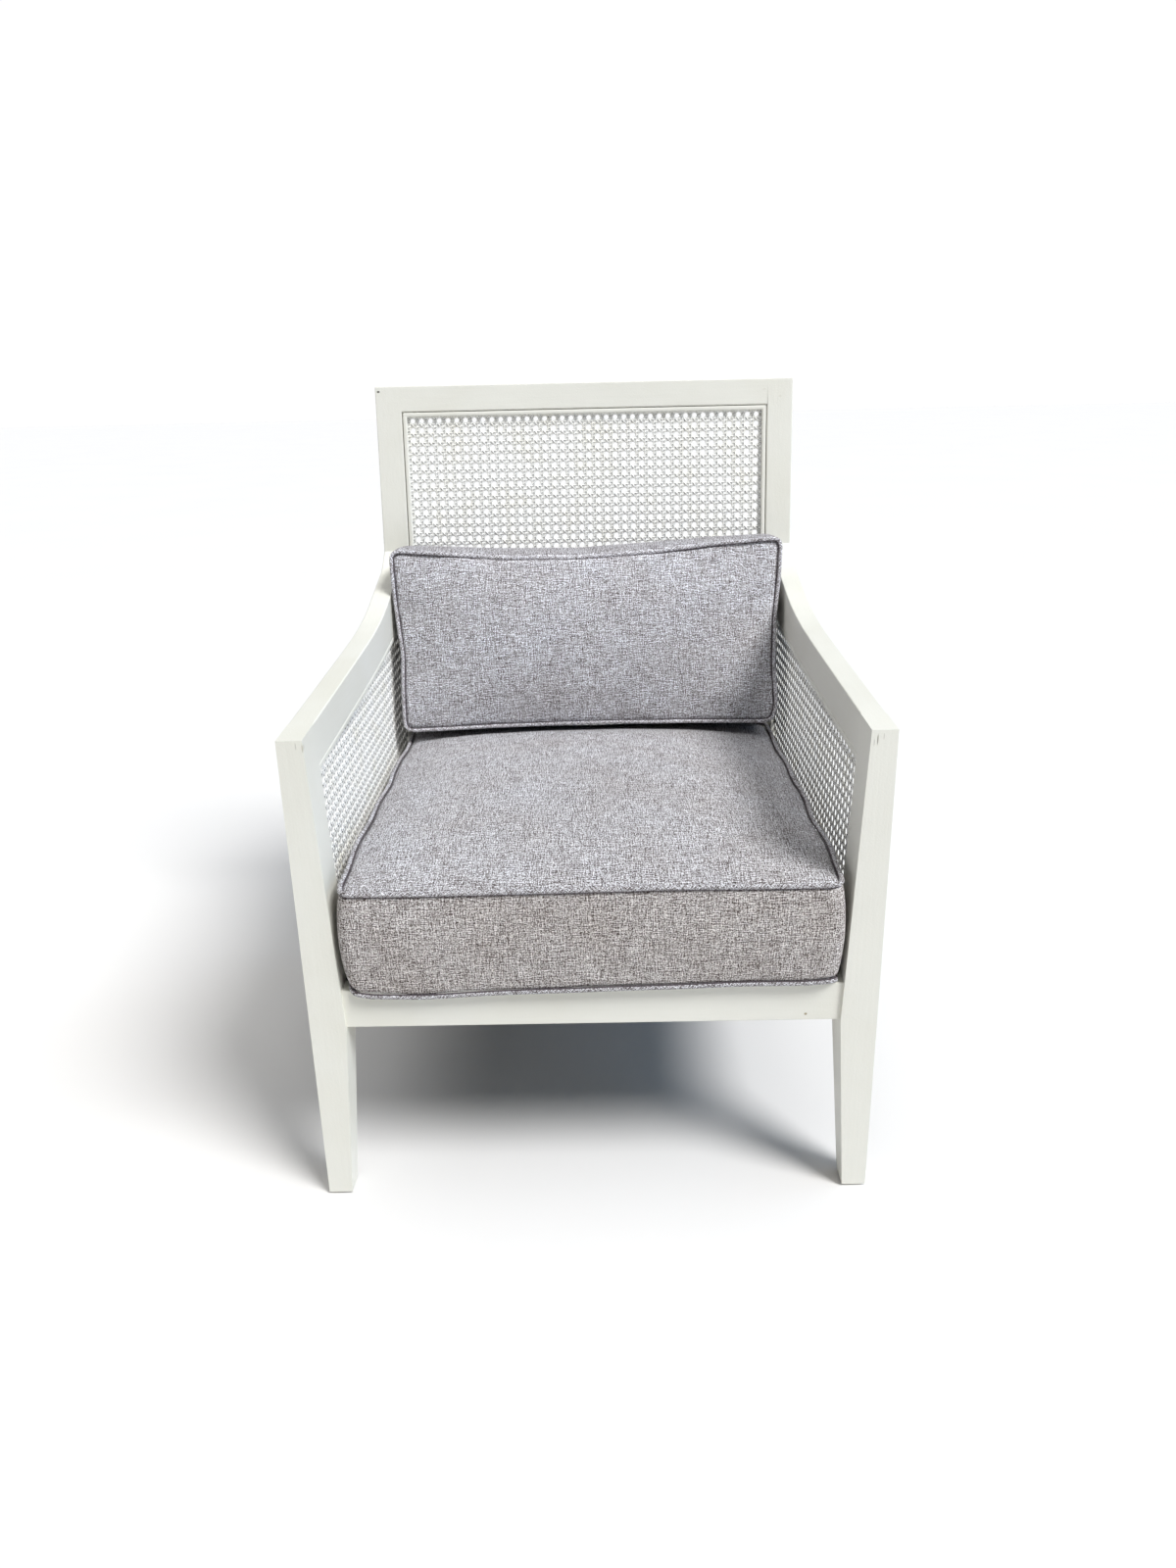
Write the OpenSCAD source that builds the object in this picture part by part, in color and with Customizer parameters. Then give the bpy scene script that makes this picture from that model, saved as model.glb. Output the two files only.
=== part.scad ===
// Cane accent chair: a painted wood frame with cane in the back and sides, swept arms,
// a webbed seat, and two loose piped cushions. Millimetres, +Z up, the front towards -Y.
// The origin lies on the floor, under the middle of the chair.

/* [Overall] */
// Width across the outer faces of the arms
arm_span = 670; // [620:2:740]
// Height of the arm top at its front end
arm_height = 624; // [590:2:660]
// Height of the front top edge of the back
back_height = 979; // [920:1:1040]
// Depth from the front of the front legs to the back legs, at the top of the seat rails
seat_depth = 587; // [550:1:630]
// Lean of the back from upright, in degrees
back_rake = 10.2; // [7:0.1:13]

/* [Front legs] */
// Depth of a front leg from its rail to its top
front_leg_depth = 50; // [44:1:58]
// Width of a front leg at the underside of the seat rail
front_leg_width = 44; // [40:1:48]
// Width of a foot
foot_width = 30; // [26:1:36]
// Depth of a foot
foot_depth = 30; // [26:1:36]
// How far the outer face of a front leg runs out between its top and the floor
leg_flare = 13; // [4:1:18]

/* [Back legs] */
// Width of a back post
post_width = 41; // [38:1:46]
// Thickness of a back post at its top
post_top = 28; // [25:1:32]
// Thickness of a back leg at the seat rails
post_seat = 46; // [42:1:52]
// How far a back foot stands behind the seat rails
back_splay = 36; // [20:1:50]

/* [Seat frame] */
// Height of the underside of the seat rails
rail_underside = 254; // [236:1:268]
// Height of a seat rail, from its underside to its top
rail_height = 52; // [48:1:58]
// Thickness of a seat rail
rail_thickness = 24; // [22:1:27]
// How far a rail face sits back from the legs
rail_setback = 4; // [2:0.5:6]
// Length of a corner block along the front or back rail
block_reach = 70; // [60:1:80]
// Height of a corner block
block_height = 32; // [28:1:33]

/* [Arms] */
// Thickness of an arm and of a front leg's top, seen from above
arm_thickness = 29; // [27:1:32]
// Depth of an arm at its front, from top to underside
arm_depth = 50; // [44:1:56]
// Rise of the straight front run of an arm
arm_ramp = 17; // [8:1:24]
// Length of the sweep at the back of an arm
sweep_length = 357; // [300:1:400]
// Rise of the arm top over the sweep
sweep_rise = 62; // [50:1:74]
// Rise of the arm underside over the sweep
under_rise = 22; // [14:1:34]

/* [Back frame] */
// Height of the top rail's face
top_rail_height = 39.2; // [36:0.2:48]
// Height of the lower back rail's face
lower_rail_height = 45; // [40:1:52]
// Thickness of the lower back rail
lower_rail_thickness = 24; // [20:1:27]
// Open gap between the back seat rail and the lower back rail
lower_rail_gap = 45; // [30:1:60]

/* [Cane] */
// Thickness of the woven cane
cane_thickness = 1.6; // [1.2:0.1:2]
// Pitch of the gaps in the cane net
net_pitch = 42.8; // [38:0.2:48]
// Width of a strand band between two gaps
net_strand = 14; // [10:0.5:18]
// Width of a stop moulding
stop_width = 8; // [7:0.2:10]
// Thickness of a stop behind the cane
stop_thickness = 5.6; // [4.5:0.1:6.4]
// Thickness of a stop in front of the cane, which is flush with the frame
cane_inset = 7; // [6:0.2:8]
// Groove between the front stop of the back and its frame
stop_groove = 1.2; // [0.6:0.1:1.6]

/* [Seat support] */
// Width of a webbing strap
strap_width = 60; // [50:1:70]
// Thickness of a webbing strap
strap_thickness = 2; // [1.6:0.1:2.4]
// Depth of the groove that holds the strap ends
strap_groove = 12; // [10:0.5:14]
// Wood left above the strap groove
groove_cover = 12; // [10:0.5:14]
// Thickness of the deck cloth
deck_thickness = 1; // [0.8:0.1:1.5]

/* [Cushions] */
// Diameter of the piping
piping = 6; // [5:0.5:8]
// Gap that a loose cushion keeps from what it rests on
cushion_gap = 0.3; // [0.3:0.1:0.6]
// Height of the seat cushion between its two pipings
seat_boxing = 133; // [110:1:150]
// Crown of the seat cushion above its top piping
seat_crown = 31; // [20:1:40]
// How far the seat cushion hangs over the front of the legs
seat_overhang = 9; // [4:1:14]
// Thickness of the back cushion at its pipings
back_boxing = 106; // [80:1:116]
// Crown of the back cushion in front of its front piping
back_crown = 24; // [16:1:34]
// Height of the back cushion at its corners
back_cushion_height = 284; // [250:1:310]
// Sag of the back cushion's top edge at its middle
back_sag = 22; // [10:1:30]
// How far the back cushion's top edge swells above its two seams
back_top_swell = 15; // [8:1:20]
// How far the sides of a cushion are drawn in between its corners
side_draw = 9; // [4:1:14]
// Cloth and wrap between a cushion's outside and its core, at the thinnest
cover_wall = 14; // [10:1:18]

/* [Fasteners] */
// Diameter of a dowel
dowel_width = 8; // [6:0.5:9]
// Length of a dowel
dowel_length = 30; // [26:1:30]
// Clearance round a dowel
dowel_clearance = 0.1; // [0.05:0.05:0.2]
// Shank diameter of a corner block screw
screw_shank = 4; // [3.5:0.1:4.5]
// Head diameter of a corner block screw
screw_head = 8; // [7:0.5:8.5]
// Diameter of a foot glide
glide_width = 20; // [16:1:22]
// Thickness of a foot glide
glide_height = 3; // [2:0.5:5]

/* [Hidden] */

paint = [0.90, 0.91, 0.87];
cane_paint = [0.86, 0.87, 0.84];
raw_wood = [0.78, 0.66, 0.48];
fabric = [0.62, 0.58, 0.61];
round_fn = 48;

half_span = arm_span / 2;
arm_inner = half_span - arm_thickness;
post_inner = half_span - post_width;
rail_top = rail_underside + rail_height;
rake_tan = tan(back_rake);

// Front face of the back, and so of the back legs, at height z
function back_y(z) = seat_depth + (z - rail_top) * rake_tan;

back_top_y = back_y(back_height);
deepest_y = back_top_y + post_top * cos(back_rake);
mid_y = (deepest_y - seat_overhang) / 2;

// Inner edge of a front leg, which widens down to the rail and tapers to the foot
outer_at_rail = half_span + leg_flare * (arm_height - rail_underside) / arm_height;
inner_at_rail = outer_at_rail - front_leg_width;
function leg_inner(z) = inner_at_rail + (arm_inner - inner_at_rail) * (z - rail_underside)
  / (arm_height - rail_underside);

// Arm top and underside: a straight run, then a sweep that eases before it meets the post
sweep_start = back_y(arm_height + arm_ramp + sweep_rise) - sweep_length;
sweep_shape = [[0, 0], [0.28, 0.03], [0.5, 0.15], [0.7, 0.39], [0.84, 0.58], [0.92, 0.69], [1, 1]];
sweep_steps = 20;
under_power = 2.2;
function ramp_at(y) = arm_ramp * y / sweep_start;
function sweep_at(y) = max(0, (y - sweep_start) / sweep_length);
function knot_slope(k, i) = let (a = max(i - 1, 0), b = min(i + 1, len(k) - 1))
  (k[b][1] - k[a][1]) / (k[b][0] - k[a][0]);
function through_knots(k, t, i = 0) = (i < len(k) - 2 && t > k[i + 1][0]) ? through_knots(k, t, i + 1)
  : let (w = k[i + 1][0] - k[i][0], u = (t - k[i][0]) / w)
    k[i][1] * (1 + 2 * u) * pow(1 - u, 2) + k[i + 1][1] * u * u * (3 - 2 * u)
    + w * knot_slope(k, i) * u * pow(1 - u, 2) - w * knot_slope(k, i + 1) * u * u * (1 - u);
function arm_top(y) = arm_height + ramp_at(y) + sweep_rise * through_knots(sweep_shape, sweep_at(y));
function arm_under(y) = arm_height - arm_depth + ramp_at(y) + under_rise * pow(sweep_at(y), under_power);
// Where a curve, lowered by d, meets a line d in front of the back
solve_steps = 8;
function meet_under(d, y = seat_depth, n = solve_steps) = n == 0 ? y
  : meet_under(d, back_y(arm_under(y) - d) - d / cos(back_rake), n - 1);
function meet_top(y = seat_depth, n = solve_steps) = n == 0 ? y : meet_top(back_y(arm_top(y)), n - 1);
top_end = meet_top();

// The back frame in its own leaning frame: z runs down from 0 at the top front edge
function slope_to(z) = (back_height - z) / cos(back_rake);
lower_rail_foot = -slope_to(rail_top + lower_rail_gap);
lower_rail_head = lower_rail_foot + lower_rail_height;
back_opening = -top_rail_height - lower_rail_head;

// Cane panels
side_cane_x = arm_inner + cane_inset;
outer_stop_x = side_cane_x + cane_thickness;
net_margin = 3;

// Seat support levels
strap_floor = rail_top - groove_cover;
layer_slack = 0.4;
groove_height = strap_thickness + 2 * layer_slack;
rail_inner_x = half_span - rail_setback - rail_thickness;
rail_inner_y = rail_setback + rail_thickness;
back_rail_y = seat_depth + rail_setback;
long_count = 5;
cross_count = 4;
long_pitch = (2 * post_inner - strap_width) / long_count;
cross_pitch = (seat_depth - front_leg_depth) / (cross_count + 0.3);
cross_first = front_leg_depth + cross_pitch * 0.65;
wave_run = 5;
deck_edge = 0.5;
block_foot = rail_underside + 3;
block_mid = block_foot + block_height / 2;

// Cushions
cushion_side = leg_inner(rail_top) - 2;
seat_low = rail_top + cushion_gap;
seat_front = -seat_overhang;
seat_back = seat_depth - 3;
seat_mid_y = (seat_front + seat_back) / 2;
seat_half_y = (seat_back - seat_front) / 2;
seat_corner = 18;
seat_piping_z = seat_low + piping / 2 + seat_boxing;
seat_bulge = 5;
seat_front_draw = 7;
seat_rear_draw = 5;
seat_front_bow = 3.6;
crown_power_x = 3;
crown_power_y = 4;
function seat_crown_at(u, v) = seat_crown
  * (1 - pow(abs(u), crown_power_x)) * (1 - pow(abs(v), crown_power_y));
function seat_top(y) = seat_piping_z + piping / 2 + seat_crown_at(0, (y - seat_mid_y) / seat_half_y);

back_half_x = arm_inner - 5;
back_bulge = 2.5;
foot_narrowing = 6;
swell_from = 0.6;
back_depth = back_boxing + piping;
// Lowest place of the leaning back cushion that clears the seat cushion's crown
function lift_for(n) = seat_top(back_y(seat_piping_z) - n * cos(back_rake)) - n * sin(back_rake);
back_foot_z = max([for (n = [0 : 6 : back_depth + back_crown]) lift_for(n)]) + cushion_gap + 1;
back_foot = -slope_to(back_foot_z);

// All parts are drawn with y = 0 at the front of the legs, then centred over the origin
module placed() {
  translate([0, -mid_y, 0]) children();
}

// A profile in the y-z plane, given thickness along X from x0
module side_plate(x0, thickness) {
  translate([x0, 0, 0]) rotate([90, 0, 90]) linear_extrude(thickness) children();
}

// A profile in the x-z plane, given depth along Y from y0
module front_plate(y0, depth) {
  translate([0, y0 + depth, 0]) rotate([90, 0, 0]) linear_extrude(depth) children();
}

module leaning() {
  translate([0, back_top_y, back_height]) rotate([-back_rake, 0, 0]) children();
}

module both_sides() {
  children();
  mirror([1, 0, 0]) children();
}

module on_side(side) {
  if (side < 0) mirror([1, 0, 0]) children();
  else children();
}

// Dowels: grow is the clearance, 0 for the dowel itself
module dowel_x(x, y, z, grow) {
  translate([x, y, z]) rotate([0, 90, 0])
    cylinder(d = dowel_width + 2 * grow, h = dowel_length + 2 * grow, center = true, $fn = round_fn);
}

module dowel_y(x, y, z, grow) {
  translate([x, y, z]) rotate([90, 0, 0])
    cylinder(d = dowel_width + 2 * grow, h = dowel_length + 2 * grow, center = true, $fn = round_fn);
}

dowel_edge = 11;
dowel_low = rail_underside + dowel_edge;
dowel_high = strap_floor - dowel_edge;
rail_mid_x = half_span - rail_setback - rail_thickness / 2;
front_rail_mid_y = rail_setback + rail_thickness / 2;
back_rail_mid_y = back_rail_y + rail_thickness / 2;

module seat_dowels(grow) {
  both_sides() for (z = [dowel_low, dowel_high]) {
    dowel_x(leg_inner(z), front_rail_mid_y, z, grow);
    dowel_x(post_inner, back_rail_mid_y, z, grow);
    dowel_y(rail_mid_x, front_leg_depth, z, grow);
    dowel_y(rail_mid_x, back_y(z), z, grow);
  }
}

arm_mid_x = half_span - arm_thickness / 2;
arm_front_low = arm_under(front_leg_depth) + dowel_edge;
arm_front_high = arm_top(front_leg_depth) - dowel_edge;
arm_back_low = arm_under(top_end) + dowel_edge + 4;
arm_back_high = arm_top(top_end) - dowel_edge - 20;

module arm_dowel_set(grow) {
  both_sides() {
    for (z = [arm_front_low, arm_front_high]) dowel_y(arm_mid_x, front_leg_depth, z, grow);
    for (z = [arm_back_low, arm_back_high]) dowel_y(arm_mid_x, back_y(z), z, grow);
  }
}

module back_dowels(grow) {
  leaning() both_sides() {
    for (z = [-dowel_edge, dowel_edge - top_rail_height]) dowel_x(post_inner, post_top / 2, z, grow);
    for (z = [lower_rail_foot + dowel_edge, lower_rail_head - dowel_edge])
      dowel_x(post_inner, lower_rail_thickness / 2, z, grow);
  }
}

// Foot glides: a disc with a nail into the foot
nail_width = 2.5;
nail_length = 16;
front_foot_x = half_span + leg_flare - foot_width / 2;
back_foot_x = half_span - foot_width / 2;
back_foot_front = back_y(rail_underside) + back_splay;
back_foot_y = back_foot_front + foot_depth / 2;

module glide_set(grow) {
  both_sides() for (p = [[front_foot_x, foot_depth / 2], [back_foot_x, back_foot_y]])
    translate([p[0], p[1], 0]) {
      if (grow == 0) cylinder(d = glide_width, h = glide_height, $fn = round_fn);
      cylinder(d = nail_width + 2 * grow, h = glide_height + nail_length + grow, $fn = round_fn);
    }
}

// Front leg: the front outline and the side outline cut each other
module front_leg(side) {
  top_points = [for (i = [0 : 2]) let (y = front_leg_depth * i / 2) [y, arm_top(y)]];
  highest = arm_top(front_leg_depth);
  foot_outer = half_span + leg_flare;
  color(paint) placed() on_side(side) difference() {
    intersection() {
      front_plate(0, front_leg_depth) polygon([
        [foot_outer - foot_width, glide_height], [foot_outer, glide_height],
        [half_span, arm_height], [half_span, highest], [arm_inner, highest],
        [arm_inner, arm_height], [inner_at_rail, rail_underside]]);
      side_plate(post_inner - foot_width, front_leg_width + post_width + foot_width) polygon(concat([
        [0, glide_height], [foot_depth, glide_height],
        [front_leg_depth, rail_underside]],
        [for (i = [2 : -1 : 0]) top_points[i]]));
    }
    seat_dowels(dowel_clearance);
    arm_dowel_set(dowel_clearance);
    glide_set(dowel_clearance);
  }
}

// Back leg and post in one: a leaning post above the seat, a splayed tapered leg below
module back_leg(side) {
  knee_y = back_y(rail_underside);
  cap_y = back_top_y + post_top * cos(back_rake);
  cap_z = back_height - post_top * sin(back_rake);
  color(paint) placed() on_side(side) difference() {
    intersection() {
      front_plate(knee_y - post_seat, back_splay + 4 * post_seat + back_top_y - knee_y) polygon([
        [half_span - foot_width, glide_height], [half_span, glide_height],
        [half_span, back_height], [post_inner, back_height], [post_inner, rail_underside]]);
      side_plate(post_inner - foot_width, post_width + 2 * foot_width) polygon([
        [back_foot_front, glide_height], [back_foot_front + foot_depth, glide_height],
        [knee_y + post_seat, rail_underside], [cap_y, cap_z],
        [back_top_y, back_height], [knee_y, rail_underside]]);
    }
    seat_dowels(dowel_clearance);
    arm_dowel_set(dowel_clearance);
    back_dowels(dowel_clearance);
    glide_set(dowel_clearance);
  }
}

// The groove that the strap ends slip into
module strap_slot_y(y) {
  translate([-half_span, y, strap_floor]) cube([arm_span, strap_groove, groove_height]);
}

module front_seat_rail() {
  color(paint) placed() difference() {
    front_plate(rail_setback, rail_thickness) polygon([
      [-leg_inner(rail_underside), rail_underside], [leg_inner(rail_underside), rail_underside],
      [leg_inner(rail_top), rail_top], [-leg_inner(rail_top), rail_top]]);
    strap_slot_y(rail_inner_y - strap_groove);
    seat_dowels(dowel_clearance);
    block_screws(dowel_clearance);
  }
}

module back_seat_rail() {
  color(paint) placed() difference() {
    translate([-post_inner, back_rail_y, rail_underside])
      cube([2 * post_inner, rail_thickness, rail_height]);
    strap_slot_y(back_rail_y);
    seat_dowels(dowel_clearance);
    block_screws(dowel_clearance);
  }
}

module side_seat_rail(side) {
  color(paint) placed() on_side(side) difference() {
    side_plate(rail_inner_x, rail_thickness) polygon([
      [front_leg_depth, rail_underside], [back_y(rail_underside), rail_underside],
      [back_y(rail_top), rail_top], [front_leg_depth, rail_top]]);
    translate([rail_inner_x, 0, strap_floor]) cube([strap_groove, back_top_y, groove_height]);
    seat_dowels(dowel_clearance);
    block_screws(dowel_clearance);
  }
}

// Corner blocks: a diagonal brace notched round its leg, with two screws
screw_fit = 0.25;
screw_grip = 17;
screw_head_depth = 27;
front_screw_x = leg_inner(rail_underside) - 25;
back_screw_x = post_inner - 25;
side_screw_offset = 25;
screw_level = 8;

module corner_profile(leg_x, leg_y, rail_y, dir) {
  polygon([[leg_x - block_reach, rail_y], [leg_x, rail_y], [leg_x, leg_y],
    [rail_inner_x, leg_y], [rail_inner_x, leg_y + dir * block_reach]]);
}

// One screw along +Y: shank into the rail, head in its counterbore; grow opens the hole
module screw_along(grow) {
  rotate([-90, 0, 0]) {
    translate([0, 0, -screw_grip - grow])
      cylinder(d = screw_shank + 2 * grow, h = screw_grip + screw_head_depth + grow, $fn = round_fn);
    translate([0, 0, screw_head_depth - screw_shank])
      cylinder(d = screw_head + 2 * grow, h = screw_shank + (grow > 0 ? block_reach : 0), $fn = round_fn);
  }
}

module block_screws(grow) {
  both_sides() {
    translate([front_screw_x, rail_inner_y, block_mid - screw_level]) screw_along(grow);
    translate([rail_inner_x, front_leg_depth + side_screw_offset, block_mid + screw_level])
      rotate([0, 0, 90]) screw_along(grow);
    translate([back_screw_x, back_rail_y, block_mid - screw_level]) rotate([0, 0, 180]) screw_along(grow);
    translate([rail_inner_x, back_y(block_foot) - side_screw_offset, block_mid + screw_level])
      rotate([0, 0, 90]) screw_along(grow);
  }
}

module corner_block_front(side) {
  color(raw_wood) placed() on_side(side) difference() {
    translate([0, 0, block_foot]) linear_extrude(block_height)
      corner_profile(leg_inner(block_foot), front_leg_depth, rail_inner_y, 1);
    block_screws(screw_fit);
  }
}

module corner_block_back(side) {
  color(raw_wood) placed() on_side(side) difference() {
    translate([0, 0, block_foot]) linear_extrude(block_height)
      corner_profile(post_inner, back_y(block_foot), back_rail_y, -1);
    block_screws(screw_fit);
  }
}

module arm(side) {
  under_end = meet_under(0);
  color(paint) placed() on_side(side) difference() {
    side_plate(arm_inner, arm_thickness) polygon(concat(
      [for (i = [0 : sweep_steps]) let (y = run_point(i, under_end)) [y, arm_under(y)]],
      [for (i = [sweep_steps : -1 : 0]) let (y = run_point(i, top_end)) [y, arm_top(y)]]));
    arm_dowel_set(dowel_clearance);
  }
}

// Points along an arm: one at its front end, the rest spread over the sweep
function run_point(i, end, front = front_leg_depth) = i == 0 ? front
  : sweep_start + (end - sweep_start) * (i - 1) / (sweep_steps - 1);

// Outline of a side panel, drawn in by d: front foot, back foot, then the curve back to front
function side_front(d) = front_leg_depth + d;
function side_curve(d) = [for (i = [sweep_steps : -1 : 0])
  let (y = run_point(i, meet_under(d), side_front(d))) [y, arm_under(y) - d]];
function side_foot(d) = [[side_front(d), rail_top + d],
  [back_y(rail_top + d) - d / cos(back_rake), rail_top + d]];
function side_outline(d) = concat(side_foot(d), side_curve(d));

module side_cane(side) {
  run = seat_depth - front_leg_depth - 2 * stop_width;
  columns = floor(run / net_pitch);
  first = side_front(stop_width) + (run - columns * net_pitch) / 2;
  gap = net_pitch - net_strand;
  color(cane_paint) placed() on_side(side) side_plate(side_cane_x, cane_thickness) difference() {
    polygon(side_outline(0));
    for (i = [0 : columns - 1]) {
      y = first + i * net_pitch + net_strand / 2;
      roof = min(arm_under(y), arm_under(y + gap)) - stop_width - net_margin;
      rows = floor((roof - rail_top - stop_width) / net_pitch);
      for (j = [0 : rows - 1])
        translate([y, rail_top + stop_width + net_strand / 2 + j * net_pitch]) square(gap);
    }
  }
}

// Four mitred strips round a side panel, from the panel's own outline
module side_stops(side, x0, thickness) {
  outer = side_outline(0);
  inner = side_outline(stop_width);
  last = len(outer) - 1;
  color(paint) placed() on_side(side) {
    side_plate(x0, thickness) polygon([outer[0], outer[1], inner[1], inner[0]]);
    side_plate(x0, thickness) polygon([outer[1], outer[2], inner[2], inner[1]]);
    side_plate(x0, thickness) polygon([outer[last], outer[0], inner[0], inner[last]]);
    side_plate(x0, thickness) polygon(concat([for (i = [2 : last]) outer[i]],
      [for (i = [last : -1 : 2]) inner[i]]));
  }
}

module back_top_rail() {
  color(paint) placed() difference() {
    leaning() translate([-post_inner, 0, -top_rail_height])
      cube([2 * post_inner, post_top, top_rail_height]);
    back_dowels(dowel_clearance);
  }
}

module back_lower_rail() {
  color(paint) placed() difference() {
    leaning() translate([-post_inner, 0, lower_rail_foot])
      cube([2 * post_inner, lower_rail_thickness, lower_rail_height]);
    back_dowels(dowel_clearance);
  }
}

module back_cane() {
  gap = net_pitch - net_strand;
  columns = floor((2 * post_inner - 2 * stop_width) / net_pitch);
  rows = floor((back_opening - 2 * stop_width) / net_pitch);
  color(cane_paint) placed() leaning() front_plate(cane_inset, cane_thickness) difference() {
    translate([-post_inner, lower_rail_head]) square([2 * post_inner, back_opening]);
    for (i = [0 : columns - 1], j = [0 : rows - 1])
      translate([(i - columns / 2) * net_pitch + net_strand / 2,
        lower_rail_head + back_opening / 2 + (j - rows / 2) * net_pitch + net_strand / 2]) square(gap);
  }
}

// Four mitred strips round the back panel, edge drawn in from the frame by groove
module back_stops(y0, thickness, groove) {
  x1 = post_inner - groove;
  z1 = -top_rail_height - groove;
  z0 = lower_rail_head + groove;
  w = stop_width - groove;
  outer = [[-x1, z0], [x1, z0], [x1, z1], [-x1, z1]];
  inner = [[-x1 + w, z0 + w], [x1 - w, z0 + w], [x1 - w, z1 - w], [-x1 + w, z1 - w]];
  color(paint) placed() leaning() for (i = [0 : 3])
    front_plate(y0, thickness)
      polygon([outer[i], outer[(i + 1) % 4], inner[(i + 1) % 4], inner[i]]);
}

// A strap that weaves over and under the ones that cross it; level(j) is 1 where it is above
module woven_strap(start, end, crossings, raised) {
  low = strap_floor;
  function level(j) = (j + raised) % 2 == 0 ? strap_thickness : 0;
  half = strap_width / 2 + 1;
  path = concat([[start, low], [crossings[0] - half - wave_run, low]],
    [for (j = [0 : len(crossings) - 1]) each [
      [crossings[j] - half, low + level(j)],
      [crossings[j] + half, low + level(j)]]],
    [[crossings[len(crossings) - 1] + half + wave_run, low], [end, low]]);
  count = len(path);
  polygon(concat(path, [for (i = [count - 1 : -1 : 0]) path[i] + [0, strap_thickness]]));
}

long_x = [for (i = [0 : long_count - 1]) (i - (long_count - 1) / 2) * long_pitch];
cross_y = [for (j = [0 : cross_count - 1]) cross_first + j * cross_pitch];

module long_straps() {
  color("dimgray") placed() for (i = [0 : long_count - 1])
    side_plate(long_x[i] - strap_width / 2, strap_width)
      woven_strap(rail_inner_y - strap_groove, back_rail_y + strap_groove, cross_y, i);
}

module cross_straps() {
  reach = rail_inner_x + strap_groove;
  color("dimgray") placed() for (j = [0 : cross_count - 1])
    front_plate(cross_y[j] - strap_width / 2, strap_width)
      woven_strap(-reach, reach, long_x, j + 1);
}

// Deck cloth over the straps, cut round the legs
module deck_cloth() {
  front_x = leg_inner(rail_underside) - deck_edge;
  side_x = rail_inner_x - deck_edge;
  back_x = post_inner - deck_edge;
  y0 = rail_inner_y + deck_edge;
  y1 = front_leg_depth + deck_edge;
  y2 = back_y(rail_underside) - deck_edge;
  y3 = back_rail_y - deck_edge;
  color("black") placed() translate([0, 0, strap_floor + 2 * strap_thickness])
    linear_extrude(deck_thickness) polygon([
      [front_x, y0], [front_x, y1], [side_x, y1], [side_x, y2], [back_x, y2], [back_x, y3],
      [-back_x, y3], [-back_x, y2], [-side_x, y2], [-side_x, y1], [-front_x, y1], [-front_x, y0]]);
}

// A boxed cushion in its own frame: X across, Y along, Z through its thickness from 0.
// a and b are its half sizes, r its corner radius, draw pulls the sides in between corners.
corner_steps = 5;
edge_steps = 5;
function corner_arc(cx, cy, r, from) = [for (i = [0 : corner_steps]) let (w = from + 90 * i / corner_steps)
  [cx + r * cos(w), cy + r * sin(w)]];
function edge_run(p, q) = [for (i = [1 : edge_steps]) p + (q - p) * i / (edge_steps + 1)];
function round_rect(a, b, r) = concat(
  corner_arc(a - r, b - r, r, 0), edge_run([a - r, b], [r - a, b]),
  corner_arc(r - a, b - r, r, 90), edge_run([-a, b - r], [-a, r - b]),
  corner_arc(r - a, r - b, r, 180), edge_run([r - a, -b], [a - r, -b]),
  corner_arc(a - r, r - b, r, 270), edge_run([a, r - b], [a, b - r]));

// Closed skin over rings of equal count, with a point at each end
module ring_skin(rings, low, high) {
  n = len(rings[0]);
  m = len(rings);
  points = concat([low], [for (ring = rings) each ring], [high]);
  faces = concat(
    [for (i = [0 : n - 1]) [0, 1 + i, 1 + (i + 1) % n]],
    [for (k = [0 : m - 2], i = [0 : n - 1]) [1 + k * n + i, 1 + (k + 1) * n + i, 1 + k * n + (i + 1) % n]],
    [for (k = [0 : m - 2], i = [0 : n - 1])
      [1 + k * n + (i + 1) % n, 1 + (k + 1) * n + i, 1 + (k + 1) * n + (i + 1) % n]],
    [for (i = [0 : n - 1]) [1 + (m - 1) * n + i, 1 + m * n, 1 + (m - 1) * n + (i + 1) % n]]);
  polyhedron(points, faces);
}

// Rings of a boxed cushion from its underside up to the crown: [growth outwards, height]
underside_ring = 60;
boxing_shares = [0.2, 0.5, 0.8];
function boxed_levels(thick, bulge) = [
  [-underside_ring, 0], [-piping, 0], [-piping / 2, 0], [piping / 4, piping / 2], [-piping / 4, piping],
  for (t = boxing_shares) [bulge * sin(180 * t), piping + t * (thick - piping)],
  [-piping / 4, thick], [piping / 4, thick + piping / 2], [-piping / 2, thick + piping]];
crown_shares = [0.95, 0.86, 0.7, 0.5, 0.25];

seat_outline = [for (p = round_rect(cushion_side - seat_bulge, seat_half_y - seat_bulge, seat_corner))
  let (v = p[1] / seat_half_y, u = p[0] / cushion_side, draw = v < 0 ? seat_front_draw : seat_rear_draw)
  [p[0] * (1 - (draw / cushion_side) * v * v), p[1] * (1 - (seat_front_bow / seat_half_y) * u * u)]];

function grown(p, g) = p * (1 + g / norm(p));

module seat_cushion_form() {
  lid = seat_boxing + piping;
  edge_rings = [for (s = boxed_levels(seat_boxing, seat_bulge)) [for (p = seat_outline)
    concat(grown(p, s[0]), [s[1]])]];
  crown_rings = [for (k = crown_shares) [for (p = seat_outline) let (q = p * k)
    concat(q, [lid + seat_crown_at(q[0] / cushion_side, q[1] / seat_half_y)])]];
  translate([0, seat_mid_y, seat_low])
    ring_skin(concat(edge_rings, crown_rings), [0, 0, 0], [0, 0, lid + seat_crown]);
}

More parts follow.
